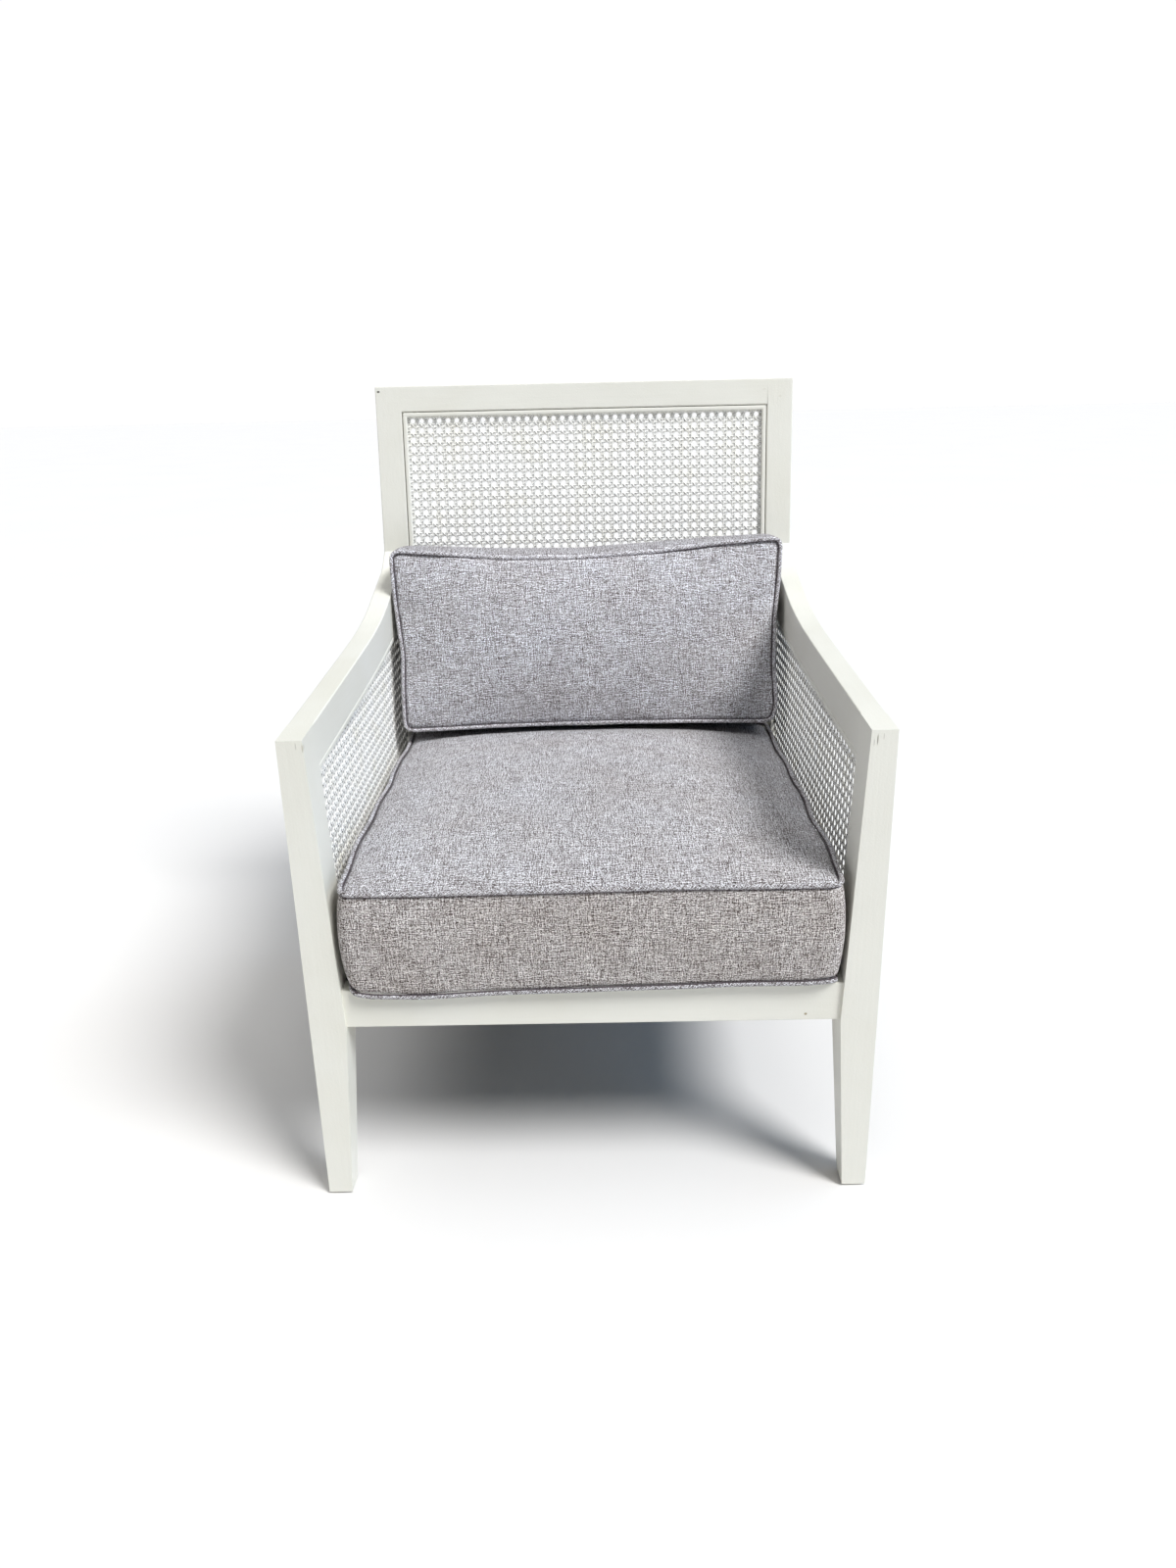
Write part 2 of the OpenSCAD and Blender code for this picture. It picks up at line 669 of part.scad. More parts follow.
module seat_core(grow) {
  wall = cover_wall - grow;
  inset = wall + side_draw;
  translate([0, seat_mid_y, seat_low + seat_boxing / 2 + piping / 2])
    cube([2 * (cushion_side - inset), 2 * (seat_half_y - inset), seat_boxing - 2 * (wall - piping)],
      center = true);
}

module seat_cushion() {
  color(fabric) placed() difference() {
    seat_cushion_form();
    seat_core(cushion_gap);
  }
}

module seat_foam_core() {
  color("khaki") placed() seat_core(0);
}

// The back cushion leans on the back: its Y runs up the back, its thickness comes forward
back_half_y = back_cushion_height / 2;
back_corner = 16;
back_outline = [for (p = round_rect(back_half_x - back_bulge, back_half_y, back_corner))
  let (u = p[0] / back_half_x, v = p[1] / back_half_y)
  [p[0] * (1 - (side_draw * (1 - v * v) + (v < 0 ? foot_narrowing * v * v : 0)) / back_half_x),
    p[1] - (v > 0 ? back_sag * (1 - u * u) * v : 0)]];
crown_power_back = 2.4;
function back_crown_at(u, v) = back_crown
  * (1 - pow(abs(u), crown_power_back)) * (1 - pow(abs(v), crown_power_back));

module back_cushion_place() {
  leaning() translate([0, -cushion_gap, back_foot + back_half_y]) rotate([90, 0, 0]) children();
}

// The cloth between the two top seams swells upwards, twice as much at the middle as at the corners
function top_swell(p, h) = let (
    u = p[0] / back_half_x,
    v = (p[1] + back_sag * (1 - u * u)) / back_half_y,
    rise = (v - swell_from) / (1 - swell_from),
    t = (h - piping) / (back_boxing - piping))
  (t <= 0 || t >= 1 || rise <= 0) ? 0 : back_top_swell * sin(180 * t) * (1 - u * u / 2) * rise;

module back_cushion_form() {
  lid = back_boxing + piping;
  edge_rings = [for (s = boxed_levels(back_boxing, back_bulge)) [for (p = back_outline)
    concat(grown(p, s[0]) + [0, top_swell(p, s[1])], [s[1]])]];
  crown_rings = [for (k = crown_shares) [for (p = back_outline) let (q = p * k)
    concat(q, [lid + back_crown_at(q[0] / back_half_x, q[1] / back_half_y)])]];
  ring_skin(concat(edge_rings, crown_rings), [0, 0, 0], [0, 0, lid + back_crown]);
}

module back_core(grow) {
  wall = cover_wall - grow;
  translate([0, -back_sag / 2, back_boxing / 2 + piping / 2])
    cube([2 * (back_half_x - wall - side_draw), 2 * (back_half_y - wall) - back_sag - side_draw,
      back_boxing - 2 * (wall - piping)], center = true);
}

module back_cushion() {
  color(fabric) placed() back_cushion_place() difference() {
    back_cushion_form();
    back_core(cushion_gap);
  }
}

module back_cushion_core() {
  color("khaki") placed() back_cushion_place() back_core(0);
}

front_leg(-1);  // front_leg_left
front_leg(1);  // front_leg_right
back_leg(-1);  // back_leg_left
back_leg(1);  // back_leg_right
front_seat_rail();
back_seat_rail();
side_seat_rail(-1);  // side_seat_rail_left
side_seat_rail(1);  // side_seat_rail_right
arm(-1);  // arm_left
arm(1);  // arm_right
back_top_rail();
back_lower_rail();
back_cane();
back_stops(0, cane_inset, stop_groove);  // back_front_stops
back_stops(cane_inset + cane_thickness, stop_thickness, 0);  // back_rear_stops
side_cane(-1);  // side_cane_left
side_cane(1);  // side_cane_right
side_stops(-1, arm_inner, cane_inset);  // side_inner_stops_left
side_stops(1, arm_inner, cane_inset);  // side_inner_stops_right
side_stops(-1, outer_stop_x, stop_thickness);  // side_outer_stops_left
side_stops(1, outer_stop_x, stop_thickness);  // side_outer_stops_right
corner_block_front(-1);  // corner_block_front_left
corner_block_front(1);  // corner_block_front_right
corner_block_back(-1);  // corner_block_back_left
corner_block_back(1);  // corner_block_back_right
color("silver") placed() block_screws(0);  // corner_block_screws
color(raw_wood) placed() seat_dowels(0);  // seat_frame_dowels
color(raw_wood) placed() arm_dowel_set(0);  // arm_dowels
color(raw_wood) placed() back_dowels(0);  // back_frame_dowels
long_straps();
cross_straps();
deck_cloth();
color("dimgray") placed() glide_set(0);  // foot_glides
seat_cushion();
seat_foam_core();
back_cushion();
back_cushion_core();
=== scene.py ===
import math

import bmesh
import bpy
import numpy as np
from mathutils import Matrix, Vector
from mathutils.bvhtree import BVHTree


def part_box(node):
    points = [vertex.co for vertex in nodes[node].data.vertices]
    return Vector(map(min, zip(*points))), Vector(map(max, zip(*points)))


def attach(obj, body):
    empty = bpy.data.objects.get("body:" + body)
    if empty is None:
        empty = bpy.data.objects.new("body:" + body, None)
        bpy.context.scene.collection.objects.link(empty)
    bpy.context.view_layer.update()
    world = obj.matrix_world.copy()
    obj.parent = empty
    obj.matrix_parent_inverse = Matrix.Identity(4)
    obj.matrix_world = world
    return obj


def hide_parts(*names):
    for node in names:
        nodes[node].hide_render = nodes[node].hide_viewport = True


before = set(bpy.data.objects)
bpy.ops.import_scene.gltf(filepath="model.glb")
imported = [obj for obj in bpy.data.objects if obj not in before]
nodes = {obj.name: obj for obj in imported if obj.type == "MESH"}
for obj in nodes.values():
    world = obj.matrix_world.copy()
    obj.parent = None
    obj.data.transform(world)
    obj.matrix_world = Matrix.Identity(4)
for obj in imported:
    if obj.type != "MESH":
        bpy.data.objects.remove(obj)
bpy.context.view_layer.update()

# The camera stands in front of the chair at the height of its top rail and looks down at it. Its
# lens is given by the long side of the picture, which is 1600 pixels high.
eye = Vector((0.0128, -1.3801, 0.9705))
pitch, yaw, roll = 0.377, -0.009, -0.022
lens_pixels, picture_long = 1021.0, 1600.0
ahead = Vector((math.sin(yaw) * math.cos(pitch), math.cos(yaw) * math.cos(pitch), -math.sin(pitch)))
level = Vector((math.cos(yaw), -math.sin(yaw), 0.0))
above = level.cross(ahead)
across = math.cos(roll) * level + math.sin(roll) * above
upward = -math.sin(roll) * level + math.cos(roll) * above
lens = bpy.data.cameras.new("camera")
lens.sensor_width = 36.0
lens.lens = lens_pixels / picture_long * lens.sensor_width
lens.shift_x = -2.7 / picture_long


def stand(name, data):
    """Puts a mesh, a lamp or a lens into the scene as an object"""
    made = bpy.data.objects.new(name, data)
    bpy.context.scene.collection.objects.link(made)
    return made


camera = stand("camera", lens)
camera.matrix_world = Matrix((
    (across.x, upward.x, -ahead.x, eye.x),
    (across.y, upward.y, -ahead.y, eye.y),
    (across.z, upward.z, -ahead.z, eye.z),
    (0.0, 0.0, 0.0, 1.0)))
bpy.context.scene.camera = camera

# The painted frame is made of solid hardwood members, dowelled and glued, then brush painted
# off-white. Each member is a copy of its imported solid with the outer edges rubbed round, except
# where it butts against another member, because the paint runs over those joints.
members = {
    "front_leg_left": 2, "front_leg_right": 2, "back_leg_left": 2, "back_leg_right": 2,
    "arm_left": 1, "arm_right": 1,
    "front_seat_rail": 0, "back_seat_rail": 0, "side_seat_rail_left": 1, "side_seat_rail_right": 1,
    "back_top_rail": 0, "back_lower_rail": 0,
}
edge_round = 0.0018
strap_groove = (0.292, 0.299)


def add_node(tree, kind, values=None, **settings):
    made = tree.nodes.new(kind)
    for name, value in settings.items():
        setattr(made, name, value)
    for socket, value in (values or {}).items():
        if isinstance(value, bpy.types.NodeSocket):
            tree.links.new(value, made.inputs[socket])
        else:
            made.inputs[socket].default_value = value
    return made


def maths(tree, kind, first, second=0.0):
    return add_node(tree, "ShaderNodeMath", {0: first, 1: second}, operation=kind).outputs[0]


def in_range(tree, value, start, end, low=0.0, high=1.0):
    """value from start to end, turned into low to high; it stays there outside"""
    return add_node(tree, "ShaderNodeMapRange", {
        "Value": value, "From Min": start, "From Max": end,
        "To Min": low, "To Max": high}).outputs["Result"]


def new_finish(name):
    """A material without nodes yet, and the place on the object in metres to colour it by"""
    made = bpy.data.materials.new(name)
    made.use_nodes = True
    made.node_tree.nodes.clear()
    return made, made.node_tree, add_node(made.node_tree, "ShaderNodeTexCoord").outputs["Object"]


def close_finish(tree, values, height=None, strength=0.0, depth=0.0):
    """The shader with its values, over a relief of the given height where there is one"""
    if height is not None:
        values["Normal"] = add_node(tree, "ShaderNodeBump", {
            "Height": height, "Strength": strength, "Distance": depth}).outputs["Normal"]
    shader = add_node(tree, "ShaderNodeBsdfPrincipled", values)
    add_node(tree, "ShaderNodeOutputMaterial", {"Surface": shader.outputs["BSDF"]})


def noise(tree, where, size, detail=3.0, rough=0.5, scale=(1, 1, 1)):
    """Noise of size cells per metre, drawn out along an axis where scale isn't the same all ways"""
    spread = add_node(tree, "ShaderNodeMapping", {"Vector": where, "Scale": scale})
    made = add_node(tree, "ShaderNodeTexNoise", {
        "Vector": spread.outputs["Vector"], "Scale": size, "Detail": detail, "Roughness": rough})
    return made.outputs["Fac"]


def ramp(tree, value, stops):
    made = add_node(tree, "ShaderNodeValToRGB", {"Fac": value})
    steps = made.color_ramp.elements
    for step, (place, colour) in zip((steps[0], steps[1]), (stops[0], stops[-1])):
        step.position, step.color = place, (*colour, 1)
    for place, colour in stops[1:-1]:
        steps.new(place).color = (*colour, 1)
    return made.outputs["Color"]


def blend_colours(tree, share, first, second, kind="MIX"):
    return add_node(tree, "ShaderNodeMix", {0: share, 6: first, 7: second},
                    data_type="RGBA", blend_type=kind).outputs[2]


def spot(tree, where, middle, half):
    """A soft mark on the surface: 1 at its middle, 0 outside its half sizes, in metres"""
    off = add_node(tree, "ShaderNodeVectorMath", {0: where, 1: middle}, operation="SUBTRACT")
    share = add_node(tree, "ShaderNodeVectorMath", {
        0: off.outputs[0], 1: [1 / h for h in half]}, operation="MULTIPLY")
    far = add_node(tree, "ShaderNodeVectorMath", {0: share.outputs[0]}, operation="LENGTH")
    return in_range(tree, far.outputs["Value"], 1.0, 0.55)


def brushed_paint(name, run, marks=(), colour=(0.823, 0.818, 0.750)):
    """Satin brush paint; run is the axis that the brush followed. Each mark is (middle, half
    sizes, colour, depth of colour)"""
    made, tree, where = new_finish(name)
    stroke = [260.0, 260.0, 260.0]
    stroke[run] = 14.0
    strokes = noise(tree, where, 1.0, 4.0, 0.6, scale=stroke)
    cloud = noise(tree, where, 7.0)
    specks = noise(tree, where, 420.0, 2.0)
    worn = tuple(c * k for c, k in zip(colour, (0.965, 0.96, 0.94)))
    pale = tuple(min(1.0, c * 1.02) for c in colour)
    base = ramp(tree, cloud, [(0.30, worn), (0.52, colour), (0.75, pale)])
    streak = ramp(tree, strokes, [(0.25, (0.965, 0.965, 0.96)), (0.6, (1.0, 1.0, 1.0))])
    tone = blend_colours(tree, 0.5, base, streak, "MULTIPLY")
    for middle, half, stain, depth in marks:
        share = maths(tree, "MULTIPLY", spot(tree, where, middle, half), depth)
        tone = blend_colours(tree, share, tone, (*stain, 1))
    gloss = in_range(tree, cloud, 0.0, 1.0, 0.34, 0.52)
    close_finish(
        tree, {"Base Color": tone, "Roughness": gloss, "Coat Weight": 0.12, "Coat Roughness": 0.25},
        maths(tree, "ADD", strokes, specks), 0.30, 0.0006)
    return made


# Wear that the photograph shows: a nail hole in the left post, two filled ones and a knot in the
# rails, and fine cracks in the paint at the top of each front leg.
nail_hole, rust, crack = (0.030, 0.026, 0.020), (0.26, 0.20, 0.07), (0.20, 0.17, 0.13)
marks = {
    "across": [((0.2893, 0.342, 0.9628), (0.0030, 0.01, 0.0022), rust, 0.10),
               ((0.2568, -0.359, 0.2629), (0.0022, 0.01, 0.0020), rust, 0.85)],
    "deep": [],
    "upright": [((-0.3295, 0.343, 0.9711), (0.0027, 0.01, 0.0019), nail_hole, 0.95),
                ((0.3145, 0.340, 0.9521), (0.0030, 0.01, 0.0022), rust, 0.10),
                ((0.3130, -0.363, 0.6130), (0.0009, 0.01, 0.0075), crack, 0.75),
                ((0.3095, -0.363, 0.6095), (0.0007, 0.01, 0.0050), crack, 0.35),
                ((0.3195, -0.363, 0.6165), (0.0007, 0.01, 0.0045), crack, 0.30),
                ((-0.3065, -0.363, 0.6150), (0.0010, 0.01, 0.0060), rust, 0.40),
                ((-0.3135, -0.363, 0.6175), (0.0007, 0.01, 0.0050), crack, 0.35)],
}
paint = [brushed_paint("white_paint_" + way, axis, marks[way])
         for axis, way in enumerate(("across", "deep", "upright"))]


def surface_tree(node):
    mesh = nodes[node].data
    return BVHTree.FromPolygons(
        [v.co.copy() for v in mesh.vertices], [tuple(p.vertices) for p in mesh.polygons])


def keep_modifiers(piece):
    """Puts the shape that the modifiers give in the place of the mesh"""
    shape = piece.evaluated_get(bpy.context.evaluated_depsgraph_get())
    mesh = bpy.data.meshes.new_from_object(shape)
    old = piece.data
    piece.modifiers.clear()
    piece.data = mesh
    bpy.data.meshes.remove(old)


least_corner, sharp_corner = math.radians(20), math.radians(32)
least_edge, joint_gap = 0.004, 0.0004


def rounded_copy(node, name, radius, neighbours, skip=lambda p: False, segments=3, cuts=()):
    """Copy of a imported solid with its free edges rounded; edges on a neighbour stay sharp. cuts
    are heights where a long edge is split, because a neighbour covers only a part of it"""
    made = stand(name, nodes[node].data.copy())
    made.data.materials.clear()
    work = bmesh.new()
    work.from_mesh(made.data)
    bmesh.ops.remove_doubles(work, verts=work.verts, dist=1e-6)
    bmesh.ops.dissolve_limit(
        work, angle_limit=math.radians(0.5), verts=work.verts, edges=work.edges)
    for height in cuts:
        everything = work.verts[:] + work.edges[:] + work.faces[:]
        bmesh.ops.bisect_plane(work, geom=everything, plane_co=(0, 0, height), plane_no=(0, 0, 1))
    free = []
    for edge in work.edges:
        if len(edge.link_faces) != 2 or edge.calc_face_angle() < least_corner:
            continue
        middle = (edge.verts[0].co + edge.verts[1].co) / 2
        if edge.calc_length() < least_edge or skip(middle):
            continue
        if any(other.find_nearest(middle, joint_gap)[0] is not None for other in neighbours):
            continue
        free.append(edge)
    bmesh.ops.bevel(work, geom=free, offset=radius, offset_type="OFFSET", segments=segments,
                    profile=0.5, affect="EDGES", clamp_overlap=True)
    work.to_mesh(made.data)
    work.free()
    made.data.shade_smooth()
    made.data.set_sharp_from_angle(angle=sharp_corner)
    even = made.modifiers.new("even", "WEIGHTED_NORMAL")
    even.keep_sharp = True
    even.weight = 100
    keep_modifiers(made)
    return made


member_surface = {node: surface_tree(node) for node in members}
top_rail_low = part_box("back_top_rail")[0].z
post_cuts = (top_rail_low + joint_gap / 2, top_rail_low + joint_gap / 2 + least_edge * 1.1)
for node, way in members.items():
    others = [member_surface[n] for n in members if n != node]
    painted = rounded_copy(
        node, "painted_" + node, edge_round, others,
        lambda p: "rail" in node and strap_groove[0] < p.z < strap_groove[1],
        cuts=post_cuts if "back_leg" in node else ())
    painted.data.materials.append(paint[way])
    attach(painted, "frame")
    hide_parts(node)

# The stops are thin beads, mitred at the corners and pinned round each cane panel on both
# sides. The painter ran the same white over them.
stops = {
    "back_front_stops": 0, "back_rear_stops": 0,
    "side_inner_stops_left": 1, "side_inner_stops_right": 1,
    "side_outer_stops_left": 1, "side_outer_stops_right": 1,
}
bead_round = 0.0022
for node, way in stops.items():
    bead = rounded_copy(node, "beaded_" + node, bead_round, [], segments=4)
    bead.data.materials.append(paint[way])
    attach(bead, "frame")
    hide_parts(node)

# Each cane panel is woven from split cane in six ways: pairs of uprights and pairs of level
# strands, laced over and under each other, and two diagonals that cut the corners of the holes.
# The web is clamped between the stops and was painted with the frame.
cane_pitch = 0.01424
strand_width = 0.0028
strand_thick = 0.00075
pair_half = 0.00205
weave_rise = 0.00040
diagonal_rise = 0.00078
cane_tuck = 0.004


def inside(points, outline):
    """Which points lie inside a polygon; both in the panel's own plane"""
    x, y = points[:, 0], points[:, 1]
    hit = np.zeros(len(points), bool)
    for (x0, y0), (x1, y1) in zip(outline, np.roll(outline, -1, axis=0)):
        if y0 == y1:
            continue
        crosses = (y0 > y) != (y1 > y)
        hit ^= crosses & (x < (x1 - x0) * (y - y0) / (y1 - y0) + x0)
    return hit


def strand(points, side, outline, verts, faces):
    """Adds a flat strand along points, cut to the outline; side is its width's direction"""
    keep = inside(points[:, :2], outline)
    runs = np.flatnonzero(np.diff(np.concatenate([[0], keep.astype(int), [0]])))
    for first, last in zip(runs[::2], runs[1::2]):
        if last - first < 2:
            continue
        run = points[first:last]
        wide = side * strand_width / 2
        thick = np.array([0.0, 0.0, strand_thick / 2])
        ring = np.stack([run - wide - thick, run + wide - thick,
                         run + wide + thick, run - wide + thick], 1)
        start = sum(len(v) for v in verts)
        count = len(run)
        verts.append(ring.reshape(-1, 3))
        base = start + 4 * np.arange(count - 1)[:, None] + np.arange(4)[None, :]
        step = start + 4 * np.arange(count - 1)[:, None] + (np.arange(4)[None, :] + 1) % 4
        faces.append(np.stack([base, step, step + 4, base + 4], -1).reshape(-1, 4))
        faces.append(np.array([[start + 3, start + 2, start + 1, start],
                               [start + 4 * count - 4 + k for k in range(4)]]))


def numbers(values, key, width=3):
    """A property of every vertex, face or corner of a mesh as rows of numbers"""
    found = np.zeros(len(values) * width, float if width > 1 else int)
    values.foreach_get(key, found)
    return found.reshape(-1, width) if width > 1 else found


def woven_panel(name, outline, origin):
    """Web of cane in the X-Y plane, cut to the outline, with a lattice crossing at origin"""
    low, high = outline.min(0) - cane_pitch, outline.max(0) + cane_pitch
    first = np.floor((low - origin) / cane_pitch).astype(int)
    last = np.ceil((high - origin) / cane_pitch).astype(int)
    share = pair_half / cane_pitch
    stations = np.array([-share, share, 0.38, 0.62])
    rises = np.array([1.0, -1.0, 0.0, 0.0]) * weave_rise
    verts, faces = [], []
    for axis in (0, 1):
        along = 1 - axis
        cells = np.arange(first[along], last[along] + 1)
        run = ((cells[:, None] + stations[None, :]) * cane_pitch).ravel() + origin[along]
        lift = np.tile(rises, len(cells))
        side = np.eye(3)[axis]
        for cell in range(first[axis], last[axis] + 1):
            for hand in (-1, 1):
                points = np.zeros((len(run), 3))
                points[:, along] = run
                points[:, axis] = origin[axis] + cell * cane_pitch + hand * pair_half
                points[:, 2] = lift * (-hand if axis == 0 else hand)
                strand(points, side, outline, verts, faces)
    for slope in (1, -1):
        side = np.array([slope, -1.0, 0.0]) / math.sqrt(2)
        cells = np.arange(4 * first[0], 4 * last[0] + 1) / 4.0
        lift = slope * diagonal_rise * np.cos(2 * np.pi * cells)
        reach = last[0] - first[0] + last[1] - first[1]
        for shift in range(-reach * 2, reach * 2 + 1):
            points = np.zeros((len(cells), 3))
            points[:, 0] = origin[0] + cells * cane_pitch
            points[:, 1] = origin[1] + (slope * cells + shift + 0.5) * cane_pitch
            if points[:, 1].max() < low[1] or points[:, 1].min() > high[1]:
                continue
            points[:, 2] = lift
            strand(points, side, outline, verts, faces)
    places = np.concatenate(verts)
    quads = np.concatenate(faces)
    mesh = bpy.data.meshes.new(name)
    mesh.vertices.add(len(places))
    mesh.vertices.foreach_set("co", places.ravel())
    mesh.loops.add(quads.size)
    mesh.loops.foreach_set("vertex_index", quads.ravel())
    mesh.polygons.add(len(quads))
    mesh.polygons.foreach_set("loop_start", np.arange(0, quads.size, 4))
    mesh.update(calc_edges=True)
    mesh.validate()
    corner = numbers(mesh.loops, "vertex_index", 1)
    cells = (places[:, :2] - origin) / cane_pitch
    mesh.uv_layers.new(name="weave").data.foreach_set("uv", cells[corner].ravel())
    return stand(name, mesh)


def from_line(tree, value):
    """Distance to the nearest whole number"""
    off = maths(tree, "SUBTRACT", maths(tree, "FRACT", value), 0.5)
    return maths(tree, "SUBTRACT", 0.5, maths(tree, "ABSOLUTE", off))


def gap_shade_spot(tree, first, second, away, reach):
    """Painted shade in the small gap of a pair, the share away of a cell from the crossing"""
    at = add_node(tree, "ShaderNodeCombineXYZ", {
        "X": maths(tree, "SUBTRACT", first, away), "Y": second})
    far = add_node(tree, "ShaderNodeVectorMath", {0: at.outputs[0]}, operation="LENGTH")
    return in_range(tree, far.outputs["Value"], reach, reach * 0.45)


def painted_cane(name, colour=(0.975, 0.972, 0.940)):
    """Brushed paint, with painted shade darkening the small gaps of the weave"""
    made, tree, where = new_finish(name)
    cell = add_node(tree, "ShaderNodeSeparateXYZ", {
        "Vector": add_node(tree, "ShaderNodeUVMap", uv_map="weave").outputs["UV"]})
    across, upward = from_line(tree, cell.outputs["X"]), from_line(tree, cell.outputs["Y"])
    # Painted shade: the strands darken around the small gaps beside each crossing, where they shade
    # each other; a noise makes it patchy.
    spots = [gap_shade_spot(tree, *way, 0.30, 0.145) for way in ((across, upward), (upward, across))]
    patchy = in_range(tree, noise(tree, where, 160.0, 2.0), 0.3, 0.7, 0.60, 1.0)
    gap_shade = maths(tree, "MULTIPLY", maths(tree, "MAXIMUM", *spots), patchy)
    cloud = noise(tree, where, 26.0)
    grain = noise(tree, where, 900.0, 2.0)
    dull = tuple(c * k for c, k in zip(colour, (0.95, 0.94, 0.90)))
    pale = tuple(min(1.0, c * 1.04) for c in colour)
    base = ramp(tree, cloud, [(0.30, dull), (0.50, colour), (0.72, pale)])
    worn = ramp(tree, grain, [(0.3, (0.95, 0.95, 0.94)), (0.6, (1, 1, 1))])
    tone = blend_colours(tree, 0.5, base, worn, "MULTIPLY")
    # The dark colour of the painted shade in the gaps.
    tone = blend_colours(tree, gap_shade, tone, (0.050, 0.046, 0.032, 1))
    close_finish(tree, {"Base Color": tone, "Roughness": 0.48}, grain, 0.4, 0.0003)
    return made


cane_paint = painted_cane("painted_cane")
back_rake = math.radians(10.2)


def weave_into(node, right, up):
    """Replaces a packed panel with a woven one; right and up are the panel's own axes"""
    facing = right.cross(up)
    turned = Matrix((right, up, facing))
    packed = np.array([turned @ v.co for v in nodes[node].data.vertices])
    middle = turned.transposed() @ Vector((packed.min(0) + packed.max(0)) / 2)
    sheet = surface_tree(node)
    rim = []
    for degree in range(0, 360, 2):
        outward = math.cos(math.radians(degree)) * right + math.sin(math.radians(degree)) * up
        edge = sheet.ray_cast(middle + outward, -outward)[0] - middle
        edge = edge * (1 - cane_tuck / edge.length)
        rim.append((edge.dot(right), edge.dot(up)))
    web = woven_panel("woven_" + node, np.array(rim), np.zeros(2))
    web.data.materials.append(cane_paint)
    web.data.transform(Matrix.Translation(middle) @ turned.transposed().to_4x4())
    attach(web, "frame")
    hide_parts(node)


weave_into("back_cane", Vector((1, 0, 0)), Vector((0, math.sin(back_rake), math.cos(back_rake))))
weave_into("side_cane_left", Vector((0, 1, 0)), Vector((0, 0, 1)))
weave_into("side_cane_right", Vector((0, 1, 0)), Vector((0, 0, 1)))

# Inside the seat frame are four beech corner blocks with two screws each, and every joint has
# beech dowels. They were left bare.


def bare_beech(name):
    made, tree, where = new_finish(name)
    grain = noise(tree, where, 1.0, 5.0, 0.6, scale=(30, 30, 900))
    flecks = noise(tree, where, 1.0, 2.0, scale=(120, 120, 1500))
    base = ramp(tree, grain, [
        (0.30, (0.40, 0.25, 0.13)), (0.52, (0.56, 0.38, 0.22)), (0.75, (0.66, 0.48, 0.30))])
    dark = ramp(tree, flecks, [(0.35, (0.72, 0.66, 0.58)), (0.6, (1, 1, 1))])
    tone = blend_colours(tree, 0.5, base, dark, "MULTIPLY")
    close_finish(tree, {"Base Color": tone, "Roughness": 0.62}, grain, 0.3, 0.0004)
    return made


def dress(node, finish):
    """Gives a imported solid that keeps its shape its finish"""
    nodes[node].data.materials.clear()
    nodes[node].data.materials.append(finish)


beech = bare_beech("bare_beech")
for node in ("seat_frame_dowels", "arm_dowels", "back_frame_dowels"):
    dress(node, beech)
for corner in ("front_left", "front_right", "back_left", "back_right"):
    node = "corner_block_" + corner
    block = rounded_copy(node, "sawn_" + node, 0.0010, [], segments=2)
    block.data.materials.append(beech)
    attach(block, "frame")
    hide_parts(node)


def plated_steel(name):
    made, tree, where = new_finish(name)
    mottle = noise(tree, where, 700.0)
    base = ramp(tree, mottle, [(0.3, (0.48, 0.46, 0.40)), (0.7, (0.70, 0.69, 0.64))])
    gloss = in_range(tree, mottle, 0.0, 1.0, 0.28, 0.45)
    close_finish(tree, {"Base Color": base, "Roughness": gloss, "Metallic": 1.0})
    return made


dress("corner_block_screws", plated_steel("plated_screws"))

# The seat is carried by elastic straps, five front to back and four across, laced through each
# other and held in grooves in the rails. A thin black cloth lies over them.


def ribbed_webbing(name, run):
    """Black elastic webbing with a rib across its width; run is the strap's long axis"""
    made, tree, where = new_finish(name)
    rib = add_node(tree, "ShaderNodeTexWave", {
        "Vector": where, "Scale": 110.0, "Distortion": 0.6, "Detail": 1.0},
        bands_direction="XYZ"[run])
    thread = add_node(tree, "ShaderNodeTexWave", {
        "Vector": where, "Scale": 45.0, "Distortion": 0.4}, bands_direction="XYZ"[1 - run])
    base = ramp(tree, thread.outputs["Fac"], [
        (0.2, (0.022, 0.020, 0.019)), (0.85, (0.075, 0.068, 0.062))])
    close_finish(tree, {"Base Color": base, "Roughness": 0.85}, rib.outputs["Fac"], 0.8, 0.0006)
    return made


def pressed_cloth(name):
    made, tree, where = new_finish(name)
    dimple = add_node(tree, "ShaderNodeTexVoronoi", {"Vector": where, "Scale": 420.0})
    base = ramp(tree, noise(tree, where, 180.0, 4.0), [
        (0.3, (0.012, 0.012, 0.013)), (0.7, (0.040, 0.040, 0.042))])
    close_finish(tree, {"Base Color": base, "Roughness": 0.95},
                 dimple.outputs["Distance"], 0.5, 0.0004)
    return made


dress("long_straps", ribbed_webbing("webbing_long", 1))
dress("cross_straps", ribbed_webbing("webbing_cross", 0))
dress("deck_cloth", pressed_cloth("black_deck_cloth"))

# A round nylon glide with a nail is driven into each foot. It keeps the end grain off the floor
# and has gone grey and scuffed.


def worn_nylon(name):
    made, tree, where = new_finish(name)
    scuff = noise(tree, where, 320.0, 4.0)
    base = ramp(tree, scuff, [(0.35, (0.16, 0.155, 0.145)), (0.65, (0.42, 0.41, 0.385))])
    close_finish(tree, {"Base Color": base, "Roughness": 0.55}, scuff, 0.3, 0.0003)
    return made


dress("foot_glides", worn_nylon("worn_nylon"))

